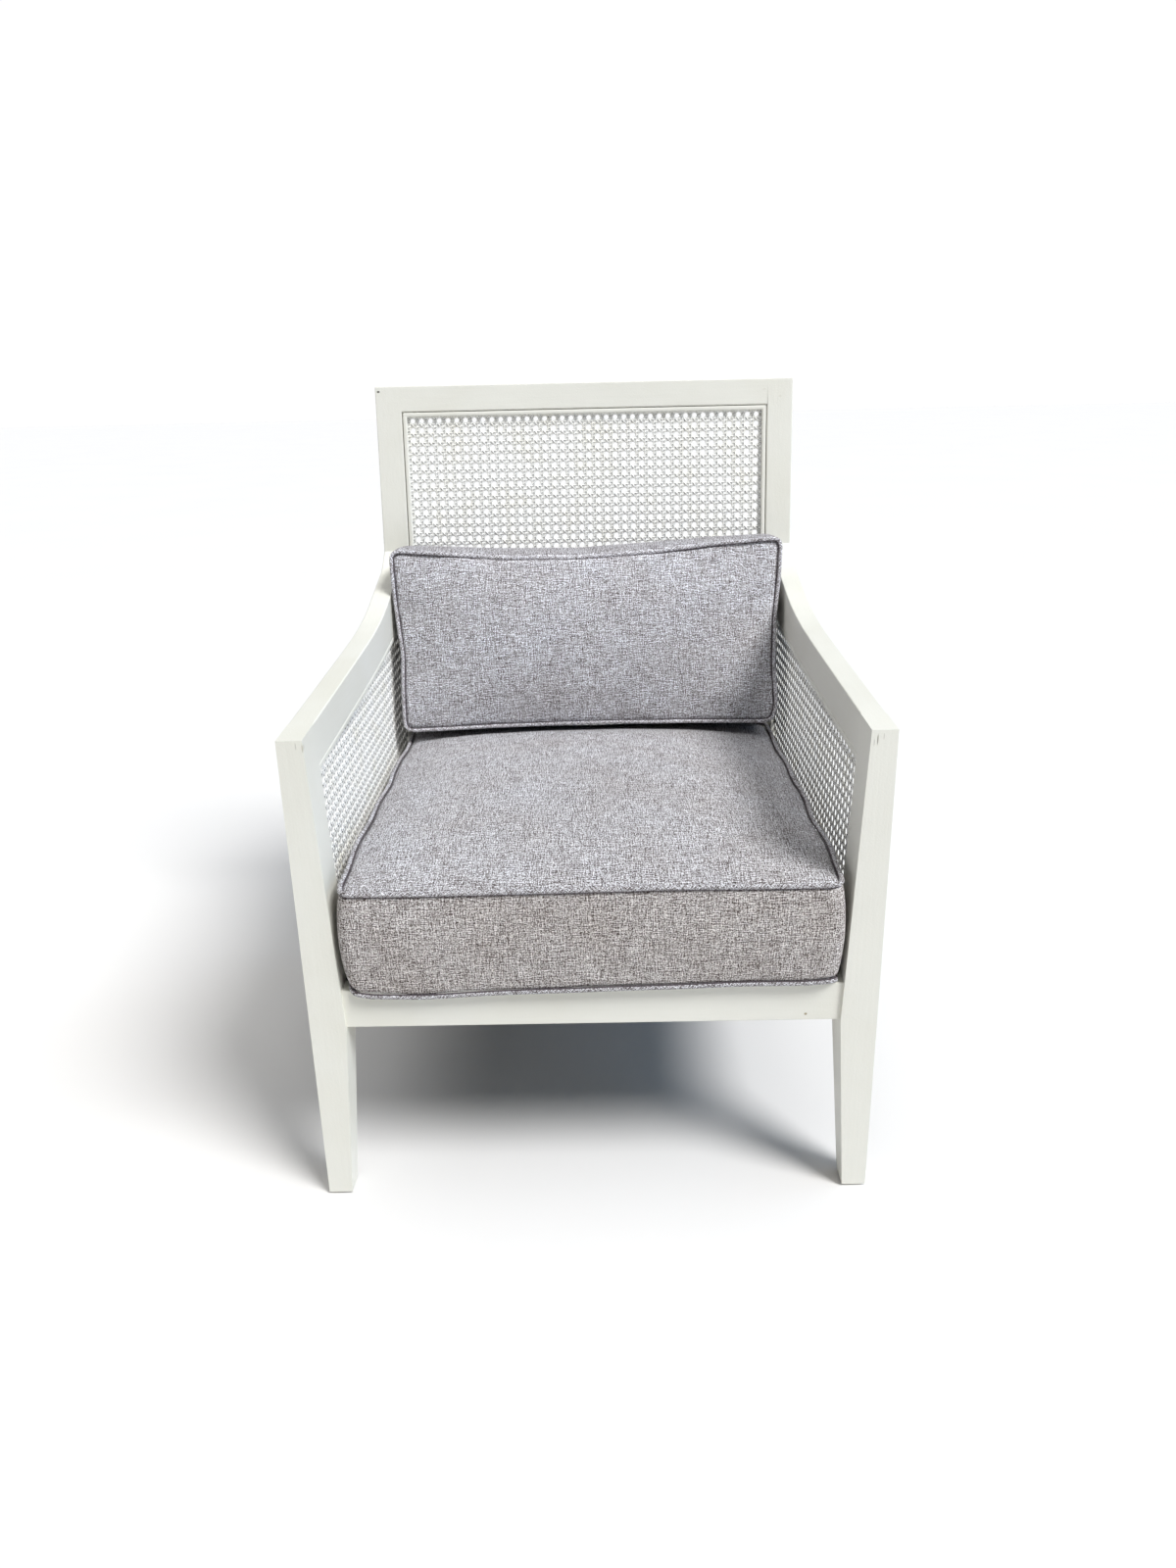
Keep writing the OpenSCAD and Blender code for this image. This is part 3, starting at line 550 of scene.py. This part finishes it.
# The cushions are boxed: a top and a bottom panel sewn to a boxing strip, with piping of the same
# cloth in both seams, over foam in a fibre wrap. The wrap swells the panels between the seams,
# the boxing bulges, and the seams pull small puckers.
piping_radius = 0.0031
crease_radius = 0.0009
seam_draw = 0.0024
# The painted shade beside the seams: how far inside them it reaches, and below how dark it is and
# how soft its edge.
seam_shade_reach = 0.0045
low_rings, boxing_rings, high_rings = 16, 12, 26
cloth_cell = 0.0055
cloth_pressure = 3.2
cloth_steps = 20
cloth_cap = 0.024
pinned, half_pinned, half_weight = 0.0045, 0.010, 0.55
swell_from, swell_fade = 0.002, 0.035
draw_reach = 0.011
seam_shade_depth, seam_shade_fade = 0.75, 0.0016
seam_count = 460
yarn_contrast = 0.38


def weighted_sum(tree, parts):
    total = None
    for value, weight in parts:
        term = maths(tree, "MULTIPLY", value, weight)
        total = term if total is None else maths(tree, "ADD", total, term)
    return total


def yarns(tree, across, along, pitch, run):
    """Tone of parallel yarns pitch apart: each has thick and thin places of its own, a run long,
    and stands out against the yarn beside it"""
    here = maths(tree, "FLOOR", maths(tree, "DIVIDE", across, pitch))
    beside = maths(tree, "ADD", here, 1.0)
    parts = []
    for row, weight in ((here, 1.0), (beside, -yarn_contrast)):
        shift = add_node(tree, "ShaderNodeTexWhiteNoise", {"W": row}, noise_dimensions="1D")
        at = add_node(tree, "ShaderNodeCombineXYZ", {
            "X": weighted_sum(tree, [(along, 1 / run), (shift.outputs["Value"], 61.0)]),
            "Y": maths(tree, "MULTIPLY", row, 3.7)})
        slubs = add_node(tree, "ShaderNodeTexNoise", {
            "Vector": at.outputs[0], "Scale": 1.0, "Detail": 1.0, "Roughness": 0.6},
            noise_dimensions="2D")
        parts.append((slubs.outputs["Fac"], weight))
    return weighted_sum(tree, parts)


def heathered_cloth(name, tint):
    """Linen-look cloth: yarns each way with pale and dark slubs, laid out by its UVs in metres"""
    made, tree, _ = new_finish(name)
    where = add_node(tree, "ShaderNodeUVMap", uv_map="cloth").outputs["UV"]
    sides = add_node(tree, "ShaderNodeSeparateXYZ", {"Vector": where}).outputs
    cloud = noise(tree, where, 11.0, 4.0, 0.6)
    parts = [(noise(tree, where, 1.0, 0.0, scale=(620, 620, 1)), 0.26)]
    for pitch, run, weight in ((0.0011, 0.0160, 0.19), (0.0008, 0.0050, 0.15)):
        parts.append((yarns(tree, sides[0], sides[1], pitch, run), weight * 0.93))
        parts.append((yarns(tree, sides[1], sides[0], pitch, run), weight))
    threads = weighted_sum(tree, parts)
    tone = ramp(tree, threads, [
        (0.2414, (0.051, 0.037, 0.034)), (0.2964, (0.240, 0.213, 0.209)),
        (0.3334, (0.422, 0.404, 0.412)),
        (0.3704, (0.620, 0.613, 0.632)), (0.4254, (0.960, 0.955, 0.975))])
    shade = ramp(tree, cloud, [(0.3, (0.93, 0.91, 0.90)), (0.7, (1.07, 1.08, 1.10))])
    # The tint paints in the light or shade of the panel that the cloth covers.
    for layer in (shade, (*tint, 1)):
        tone = blend_colours(tree, 1.0, tone, layer, "MULTIPLY")
    # Painted shade: the cloth darkens beside the seams, where the piping shades it, and on the thin
    # cords in the piping's creases.
    seam_shade = add_node(tree, "ShaderNodeAttribute", attribute_name="seam_shade").outputs["Fac"]
    tone = blend_colours(tree, seam_shade, tone, (0.060, 0.042, 0.050, 1))
    close_finish(tree, {"Base Color": tone, "Roughness": 0.93, "Specular IOR Level": 0.15},
                 threads, 0.5, 0.0010)
    return made


# The panels and the boxings are lit and shaded copies of one cloth: each tint paints in light or
# shade, darker on the seat's panels and both boxings, lighter on the back's panels; the seat's
# boxing is also warmer.
seat_panel_cloth_shaded = heathered_cloth("seat_panel_cloth_shaded", (0.858, 0.870, 0.876))
seat_boxing_cloth_shaded = heathered_cloth("seat_boxing_cloth_shaded", (0.925, 0.898, 0.848))
back_panel_cloth_lit = heathered_cloth("back_panel_cloth_lit", (1.095, 1.115, 1.145))
back_boxing_cloth_shaded = heathered_cloth("back_boxing_cloth_shaded", (0.780, 0.785, 0.795))


def closed_outline(corners, radius):
    """Evenly spaced points on a closed curve through corner points, with its corners rounded"""
    corners = [np.array(c, float) for c in corners]
    path = []
    for i, here in enumerate(corners):
        before, after = corners[i - 1], corners[(i + 1) % len(corners)]
        into, out = here - before, after - here
        in_length, out_length = np.linalg.norm(into), np.linalg.norm(out)
        turn = math.degrees(math.acos(np.clip(into @ out / in_length / out_length, -1, 1)))
        if turn < 40:
            path.append(here)
            continue
        cut = min(radius, in_length / 2.2, out_length / 2.2)
        start, end = here - into / in_length * cut, here + out / out_length * cut
        for t in np.linspace(0, 1, 9):
            path.append((1 - t) ** 2 * start + 2 * t * (1 - t) * here + t ** 2 * end)
    path = np.array(path)
    loop = np.vstack([path, path[:1]])
    length = np.concatenate([[0], np.cumsum(np.linalg.norm(np.diff(loop, axis=0), axis=1))])
    at = np.linspace(0, length[-1], seam_count, endpoint=False)
    return np.stack([np.interp(at, length, loop[:, k]) for k in range(loop.shape[1])], 1)


def smooth_loop(loop, passes):
    for _ in range(passes):
        loop = (np.roll(loop, 1, 0) + 2 * loop + np.roll(loop, -1, 0)) / 4
    return loop


def wavering(waves, size, seed):
    """A small uneven wave round a closed seam"""
    chance = np.random.default_rng(seed)
    turn = np.linspace(0, 2 * np.pi, seam_count, endpoint=False)
    total = np.zeros(seam_count)
    for k in waves:
        total += chance.normal() * np.cos(k * turn + chance.uniform(0, 2 * np.pi))
    return size * total / math.sqrt(len(waves))


def cushion_mesh(name, low_seam, high_seam, crown, bulge):
    """Closed boxed form between two seams, which are loops of points (x, y, z). crown(x, y) is
    the height over the high panel; bulge(t, k) pushes the boxing out at share t of its height,
    point k"""
    count = len(low_seam)

    def panel(seam, shares):
        middle = seam.mean(0)
        return [middle + (seam - middle) * share for share in shares]

    layers = panel(low_seam, np.linspace(0.03, 1.0, low_rings))
    run = np.roll(low_seam, -1, 0) - np.roll(low_seam, 1, 0)
    outward = np.column_stack([run[:, 1], -run[:, 0], np.zeros(count)])
    outward /= np.linalg.norm(outward, axis=1)[:, None]
    for t in np.linspace(0, 1, boxing_rings + 2)[1:-1]:
        push = bulge(t, np.arange(count))[:, None]
        layers.append(low_seam * (1 - t) + high_seam * t + outward * push)
    for ring in panel(high_seam, np.linspace(1.0, 0.03, high_rings)):
        ring[:, 2] += crown(ring[:, 0], ring[:, 1])
        layers.append(ring)
    places = np.concatenate(layers)
    work = bmesh.new()
    verts = [work.verts.new(p) for p in places]
    for start in range(0, len(verts) - count, count):
        for k in range(count):
            j = (k + 1) % count
            work.faces.new((verts[start + k], verts[start + j],
                            verts[start + count + j], verts[start + count + k]))
    work.faces.new(verts[:count][::-1])
    work.faces.new(verts[-count:])
    bmesh.ops.recalc_face_normals(work, faces=work.faces)
    mesh = bpy.data.meshes.new(name)
    work.to_mesh(mesh)
    work.free()
    return stand(name, mesh)


def nearest_on_loops(points, loops):
    """Distance from each point to the nearest seam"""
    best = np.full(len(points), 9.0)
    batch = 4000
    for loop in loops:
        run = (np.roll(loop, -1, 0) - loop)[None]
        for start in range(0, len(points), batch):
            rel = points[start:start + batch, None, :] - loop[None]
            share = np.clip((rel * run).sum(-1) / (run * run).sum(-1), 0, 1)
            gap = np.linalg.norm(rel - run * share[..., None], axis=-1).min(1)
            best[start:start + batch] = np.minimum(best[start:start + batch], gap)
    return best


def swell(piece, seams):
    """Blows the cover up as cloth between its pinned seams, then keeps the result"""
    remesh = piece.modifiers.new("cells", "REMESH")
    remesh.mode, remesh.voxel_size = "VOXEL", cloth_cell
    keep_modifiers(piece)
    start = numbers(piece.data.vertices, "co")
    gap = nearest_on_loops(start, seams)
    pins = piece.vertex_groups.new(name="seams")
    beside = (gap >= pinned) & (gap < half_pinned)
    for weight, near in ((1.0, gap < pinned), (half_weight, beside)):
        pins.add([int(i) for i in np.flatnonzero(near)], weight, "REPLACE")
    cover = piece.modifiers.new("cover", "CLOTH")
    cover.settings.quality = 5
    cover.settings.mass = 0.3
    cover.settings.use_pressure = True
    cover.settings.uniform_pressure_force = cloth_pressure
    cover.settings.effector_weights.gravity = 0.0
    cover.settings.vertex_group_mass = "seams"
    cover.settings.bending_stiffness = 0.4
    cover.collision_settings.use_collision = False
    scene = bpy.context.scene
    for step in range(1, cloth_steps + 1):
        scene.frame_set(step)
    shape = piece.evaluated_get(bpy.context.evaluated_depsgraph_get())
    move = numbers(shape.data.vertices, "co") - start
    piece.modifiers.remove(cover)
    scene.frame_set(1)
    far = np.linalg.norm(move, axis=1)
    move *= np.minimum(1.0, cloth_cap / np.maximum(far, 1e-9))[:, None]
    after = start + move * np.clip((gap - swell_from) / swell_fade, 0, 1)[:, None]
    piece.data.vertices.foreach_set("co", after.ravel())
    piece.data.update()
    smooth = piece.modifiers.new("smooth", "SUBSURF")
    smooth.levels = smooth.render_levels = 1
    keep_modifiers(piece)


def lay_cloth(piece, seams, panel, boxing):
    """UVs in metres along each panel, and painted shade beside the seams"""
    mesh = piece.data
    places = numbers(mesh.vertices, "co")
    facing = np.abs(numbers(mesh.polygons, "normal"))
    widest = np.where(facing[:, 2] > 0.55, 2, np.where(facing[:, 1] > facing[:, 0], 1, 0))
    pairs = np.array([[1, 2], [0, 2], [0, 1]])
    layer = mesh.uv_layers.new(name="cloth")
    corner = numbers(mesh.loops, "vertex_index", 1)
    owner = np.repeat(np.arange(len(mesh.polygons)), numbers(mesh.polygons, "loop_total", 1))
    rows = np.arange(len(corner))[:, None]
    uv = places[corner][rows, pairs[widest[owner]]] + widest[owner][:, None] * 0.37
    layer.data.foreach_set("uv", uv.ravel())
    mesh.materials.clear()
    mesh.materials.append(panel)
    mesh.materials.append(boxing)
    mesh.polygons.foreach_set("material_index", (widest != 2).astype(np.int32))
    # Painted shade: the cover darkens just inside each seam, where the piping shades it.
    inwards = seam_shade_reach - nearest_on_loops(places, seams)
    mark = seam_shade_depth * np.clip(inwards / seam_shade_fade, 0, 1)
    mesh.attributes.new("seam_shade", "FLOAT", "POINT").data.foreach_set("value", mark)


def tube_rings(loop, out, third, radius, sides):
    angle = np.linspace(0, 2 * np.pi, sides, endpoint=False)
    reach = np.broadcast_to(np.asarray(radius, float), (len(loop),))[:, None, None]
    return (loop[:, None, :] + reach * (np.cos(angle)[None, :, None] * out[:, None, :]
                                        + np.sin(angle)[None, :, None] * third[:, None, :]))


def piping_round(name, loop, creases, panel):
    """A closed cord of cloth along a seam, with thin dark cords in its creases as painted shade,
    where the piping shades the cloth beside it. Each crease is (share outwards, share along the
    axis Z, its radius at every point)."""
    count = len(loop)
    run = np.roll(loop, -1, 0) - np.roll(loop, 1, 0)
    run /= np.linalg.norm(run, axis=1)[:, None]
    out = np.column_stack([run[:, 1], -run[:, 0], np.zeros(count)])
    out /= np.linalg.norm(out, axis=1)[:, None]
    third = np.cross(run, out)
    third *= np.sign(third[:, 2])[:, None]
    tubes = [(tube_rings(loop, out, third, piping_radius, 12), 12, 0.0)]
    # Painted shade: each crease gets a thin cord in the dark cloth, standing for the shadow beside
    # the piping.
    for outwards, along_z, thin in creases:
        line = loop + piping_radius * (outwards * out + along_z * third)
        tubes.append((tube_rings(line, out, third, thin, 6), 6, 0.9))
    verts, faces, uv, mark = [], [], [], []
    steps = np.linalg.norm(np.diff(np.vstack([loop, loop[:1]]), axis=0), axis=1)
    length = np.concatenate([[0], np.cumsum(steps)])
    for rings, around_count, dark in tubes:
        start = len(verts)
        verts += rings.reshape(-1, 3).tolist()
        mark += [dark] * (count * around_count)
        for k in range(count):
            j = (k + 1) % count
            for a in range(around_count):
                b = (a + 1) % around_count
                faces.append((start + k * around_count + a, start + k * around_count + b,
                              start + j * around_count + b, start + j * around_count + a))
                for i, turn in ((0, 0), (0, 1), (1, 1), (1, 0)):
                    along = length[k + i]
                    around = (a + turn) / around_count * 2 * math.pi * piping_radius
                    uv.append(((along + around) * 0.7071, (along - around) * 0.7071))
    mesh = bpy.data.meshes.new(name)
    mesh.from_pydata(verts, [], faces)
    made = stand(name, mesh)
    mesh.uv_layers.new(name="cloth").data.foreach_set("uv", np.array(uv).ravel())
    mesh.attributes.new("seam_shade", "FLOAT", "POINT").data.foreach_set("value", np.array(mark))
    work = bmesh.new()
    work.from_mesh(mesh)
    bmesh.ops.recalc_face_normals(work, faces=work.faces)
    work.to_mesh(mesh)
    work.free()
    mesh.shade_smooth()
    made.data.materials.append(panel)
    return made


def finish_cushion(piece, seams, crown, place, trim, panel, boxing):
    """Swells the cover, sets its crown over the high seam, draws the seams in, trims it to the
    room that it has, then dresses and places it"""
    swell(piece, seams)
    mesh = piece.data
    places = numbers(mesh.vertices, "co")
    lid = seams[0][:, 2].mean()
    high = places[:, 2] > lid
    places[high, 2] = lid + (places[high, 2] - lid) * crown / (places[high, 2].max() - lid)
    near = np.clip(1 - nearest_on_loops(places, seams) / draw_reach, 0, 1)
    places -= numbers(mesh.vertices, "normal") * (seam_draw * near ** 1.5)[:, None]
    mesh.vertices.foreach_set("co", trim(places).ravel())
    mesh.update()
    mesh.shade_smooth()
    lay_cloth(piece, seams, panel, boxing)
    mesh.transform(place)


# The seat cushion is loose. It sits on the rails and the deck, hangs a little over the front rail,
# lowest at its left, and fills the width between the sides.
seat_low, seat_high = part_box("seat_cushion")
rail_top = seat_low.z
leg_front = seat_low.y + 0.009
top_corners = [
    (-0.2875, leg_front - 0.0068), (0.0, leg_front - 0.0078), (0.2885, leg_front - 0.0068),
    (0.2915, leg_front + 0.10), (0.2925, leg_front + 0.30), (0.2925, seat_high.y - 0.004),
    (-0.2925, seat_high.y - 0.004), (-0.2925, leg_front + 0.30), (-0.2915, leg_front + 0.10)]
low_corners = [
    (-0.2880, leg_front - 0.0050), (0.0, leg_front - 0.0054), (0.2905, leg_front - 0.0050),
    (0.2915, leg_front + 0.10), (0.2910, leg_front + 0.30), (0.2900, seat_high.y - 0.006),
    (-0.2900, seat_high.y - 0.006), (-0.2910, leg_front + 0.30), (-0.2915, leg_front + 0.10)]
top_seam = smooth_loop(closed_outline(top_corners, 0.015), 2)
low_seam = smooth_loop(closed_outline(low_corners, 0.014), 2)
front_top = np.interp(top_seam[:, 0], [-0.285, -0.2, 0.0, 0.285], [0.4415, 0.4418, 0.4430, 0.4438])
back_share = np.clip((top_seam[:, 1] - leg_front) / 0.25, 0, 1)
top_seam = np.column_stack([top_seam, front_top * (1 - back_share) + 0.4428 * back_share])
front_low = np.interp(
    low_seam[:, 0],
    [-0.285, -0.26, -0.20, -0.05, 0.15, 0.25, 0.285],
    [0.3062, 0.3030, 0.3026, 0.3078, 0.3114, 0.3130, 0.3150])
back_share = np.clip((low_seam[:, 1] - leg_front + 0.004) / 0.009, 0, 1)
low_height = front_low * (1 - back_share) + (rail_top + 0.0036) * back_share
low_seam = np.column_stack([low_seam, low_height])
top_seam[:, 2] += wavering((5, 8, 12), 0.0006, 3)
low_seam[:, 2] += wavering((6, 10, 15), 0.0004, 4) * (1 - back_share)
side_wave = wavering((9, 13, 17), 0.0009, 8)
top_seam[:, 0] += side_wave * np.sign(top_seam[:, 0]) * (np.abs(top_seam[:, 0]) > 0.28)
top_seam[:, 0] = np.clip(top_seam[:, 0], -0.2938, 0.2938)
seat_mid = (low_seam.mean(0) + top_seam.mean(0)) / 2
half_x, half_y = 0.2925, (seat_high.y - seat_low.y) / 2 - 0.005


def seat_crown(x, y):
    u = np.clip(np.abs(x / half_x), 0, 1)
    v = np.clip((y - seat_mid[1]) / half_y, -1, 1)
    return 0.021 * (1 - u ** 2.8) * (1 - np.abs(v) ** 3.0)


def seat_boxing(t, k):
    corner = (np.clip((np.abs(top_seam[k, 0]) - 0.26) / 0.03, 0, 1)
              * np.clip((leg_front + 0.05 - top_seam[k, 1]) / 0.05, 0, 1))
    wave = 0.0012 * np.sin(k / seam_count * 2 * np.pi * 5 + 1.0)
    return (0.0042 + 0.0045 * corner + wave) * np.sin(np.pi * t) ** 0.7


def seat_trim(places):
    """Keeps the cover between the cane panels, and on the rails except where it hangs in front"""
    hang = np.clip((leg_front + 0.0030 - places[:, 1]) / 0.003, 0, 1)
    lowest = rail_top + 0.0004 - 0.0085 * hang
    places[:, 0] = np.clip(places[:, 0], -0.2970, 0.2970)
    places[:, 1] = np.clip(places[:, 1], seat_low.y - 0.003, seat_high.y + 0.002)
    places[:, 2] = np.maximum(places[:, 2], lowest)
    return places


seat_cover = cushion_mesh("seat_cushion_cover", low_seam, top_seam, seat_crown, seat_boxing)
finish_cushion(seat_cover, [top_seam, low_seam], 0.0315, Matrix.Identity(4), seat_trim,
               seat_panel_cloth_shaded, seat_boxing_cloth_shaded)
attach(seat_cover, "seat_cushion")
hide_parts("seat_cushion")
at_sides = np.clip((top_seam[:, 1] - leg_front - 0.004) / 0.012, 0, 1)
top_loop = top_seam + np.column_stack([np.zeros((seam_count, 2)), -0.0012 * (1 - at_sides)])
inner_crease = 0.0002 + (crease_radius - 0.0002) * at_sides
for name, loop, creases in (
        ("seat_top_piping", top_loop, [
            (0.30, -0.95, crease_radius), (-0.93, 0.30, inner_crease)]),
        ("seat_low_piping", low_seam, [(0.30, 0.95, crease_radius)])):
    cord = piping_round(name, loop, creases, seat_panel_cloth_shaded)
    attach(cord, "seat_cushion")

# The back cushion is loose too. It stands on the seat cushion and leans on the cane, with its
# top corners standing up and its top edge sagging between them.
back_top = Vector((0.0, 0.34474, 0.979))
foot_down = 0.5371
leaning = (Matrix.Translation(back_top) @ Matrix.Rotation(-back_rake, 4, "X")
           @ Matrix.Translation((0, -0.0004, -foot_down))
           @ Matrix.Rotation(math.radians(90), 4, "X"))
front_corners = [
    (-0.2945, -0.0035), (-0.150, 0.0020), (0.0, 0.0050), (0.150, 0.0040), (0.2905, 0.0015),
    (0.2950, 0.030), (0.2905, 0.090), (0.2910, 0.165), (0.2965, 0.222), (0.2995, 0.2845),
    (0.194, 0.2770), (0.102, 0.2670), (-0.018, 0.2602), (-0.128, 0.2622), (-0.208, 0.2690),
    (-0.3020, 0.2765), (-0.2995, 0.205), (-0.2915, 0.120), (-0.2940, 0.060)]
rear_corners = [
    (-0.2925, 0.000), (0.0, 0.001), (0.2905, 0.000), (0.2945, 0.030), (0.2905, 0.100),
    (0.2915, 0.180), (0.2975, 0.284), (0.150, 0.272), (0.0, 0.262), (-0.150, 0.2655),
    (-0.2985, 0.279), (-0.2935, 0.170), (-0.2915, 0.090)]
front_seam = smooth_loop(closed_outline(front_corners, 0.013), 3)
rear_seam = smooth_loop(closed_outline(rear_corners, 0.016), 3)
front_seam = np.column_stack([front_seam, np.full(seam_count, 0.1155)])
rear_seam = np.column_stack([rear_seam, np.full(seam_count, 0.0036)])
front_seam[:, 2] += wavering((7, 11, 16), 0.0009, 12)
back_mid = (0.0, 0.136)


def back_crown(x, y):
    u = np.clip(np.abs((x - back_mid[0]) / 0.298), 0, 1)
    v = np.clip(np.abs((y - back_mid[1]) / 0.138), 0, 1)
    return 0.017 * (1 - u ** 2.4) * (1 - v ** 2.2)


def back_boxing(t, k):
    top = np.clip((front_seam[k, 1] - 0.225) / 0.035, 0, 1)
    foot = np.clip((0.02 - front_seam[k, 1]) / 0.02, 0, 1)
    rise = 0.0170 * (1 - 0.45 * (front_seam[k, 0] / 0.3) ** 2)
    return np.sin(np.pi * t) ** 0.75 * (0.003 + (rise - 0.003) * top) * (1 - 0.9 * foot)


def back_trim(places):
    """Keeps the cover off the cane, the arms and the seat cushion"""
    places[:, 0] = np.clip(places[:, 0], -0.3050, 0.3030)
    places[:, 1] = np.maximum(places[:, 1], 0.0002)
    places[:, 2] = np.maximum(places[:, 2], 0.0004)
    return places


back_cover = cushion_mesh("back_cushion_cover", rear_seam, front_seam, back_crown, back_boxing)
finish_cushion(back_cover, [front_seam, rear_seam], 0.0255, leaning, back_trim,
               back_panel_cloth_lit, back_boxing_cloth_shaded)
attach(back_cover, "back_cushion")
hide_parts("back_cushion")
for name, loop, creases in (
        ("back_front_piping", front_seam, [
            (0.30, -0.95, crease_radius), (-0.93, 0.30, crease_radius)]),
        ("back_rear_piping", rear_seam, [
            (0.30, 0.95, crease_radius), (-0.93, -0.30, crease_radius)])):
    cord = piping_round(name, loop, creases, back_panel_cloth_lit)
    cord.data.transform(leaning)
    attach(cord, "back_cushion")

# Each cushion has a block inside its cover: cut foam in the seat, a softer filled one in the
# back. They are bare, and only the covers show.


def open_foam(name):
    made, tree, where = new_finish(name)
    cells = add_node(tree, "ShaderNodeTexVoronoi", {"Vector": where, "Scale": 900.0})
    base = ramp(tree, noise(tree, where, 24.0), [
        (0.3, (0.62, 0.55, 0.34)), (0.7, (0.76, 0.70, 0.48))])
    close_finish(tree, {"Base Color": base, "Roughness": 0.95},
                 cells.outputs["Distance"], 0.7, 0.0006)
    return made


foam = open_foam("open_foam")
dress("seat_foam_core", foam)
dress("back_cushion_core", foam)

# The room: a wide pale floor, a soft key light from high on the front right, weaker ones from
# overhead, the left and the right, and a dim sky that the camera sees as white.


def pale_floor(name):
    made, tree, where = new_finish(name)
    base = ramp(tree, noise(tree, where, 1.2), [
        (0.3, (0.817, 0.807, 0.794)), (0.7, (0.829, 0.819, 0.806))])
    close_finish(tree, {"Base Color": base, "Roughness": 0.9, "Specular IOR Level": 0.2})
    return made


floor_half = 40.0
corners = [(x * floor_half, y * floor_half, 0.0) for x, y in ((-1, -1), (1, -1), (1, 1), (-1, 1))]
floor_mesh = bpy.data.meshes.new("pale_floor")
floor_mesh.from_pydata(corners, [], [(0, 1, 2, 3)])
floor = stand("pale_floor", floor_mesh)
floor_mesh.materials.append(pale_floor("pale_floor"))


def soft_sun(name, toward, strength, spread, colour=(1.0, 1.0, 1.0)):
    """A light from a direction, as wide as a large soft box; spread in degrees"""
    lamp = bpy.data.lights.new(name, "SUN")
    lamp.energy, lamp.angle, lamp.color = strength, math.radians(spread), colour
    stand(name, lamp).rotation_euler = Vector(toward).to_track_quat("Z", "Y").to_euler()


soft_sun("key", (0.4925, -0.369, 0.788), 3.20, 22.0)
soft_sun("overhead", (-0.10, 0.0, 1.0), 1.22, 60.0)
soft_sun("left", (-0.92, -0.22, 0.32), 0.22, 44.0)
soft_sun("cool_side", (0.90, -0.05, 0.42), 0.66, 60.0, (0.38, 0.64, 1.0))
sky = bpy.data.worlds.new("sky")
bpy.context.scene.world = sky
sky.use_nodes = True
dim = sky.node_tree.nodes["Background"]
dim.inputs["Color"].default_value = (0.94, 0.98, 1.0, 1.0)
dim.inputs["Strength"].default_value = 0.01
seen = add_node(sky.node_tree, "ShaderNodeBackground", {
    "Color": (1.0, 1.0, 1.0, 1.0), "Strength": 1.02})
either = add_node(sky.node_tree, "ShaderNodeMixShader", {
    0: add_node(sky.node_tree, "ShaderNodeLightPath").outputs["Is Camera Ray"],
    1: dim.outputs[0], 2: seen.outputs[0]})
sky.node_tree.links.new(either.outputs[0], sky.node_tree.nodes["World Output"].inputs["Surface"])
bpy.context.scene.view_settings.view_transform = "Standard"
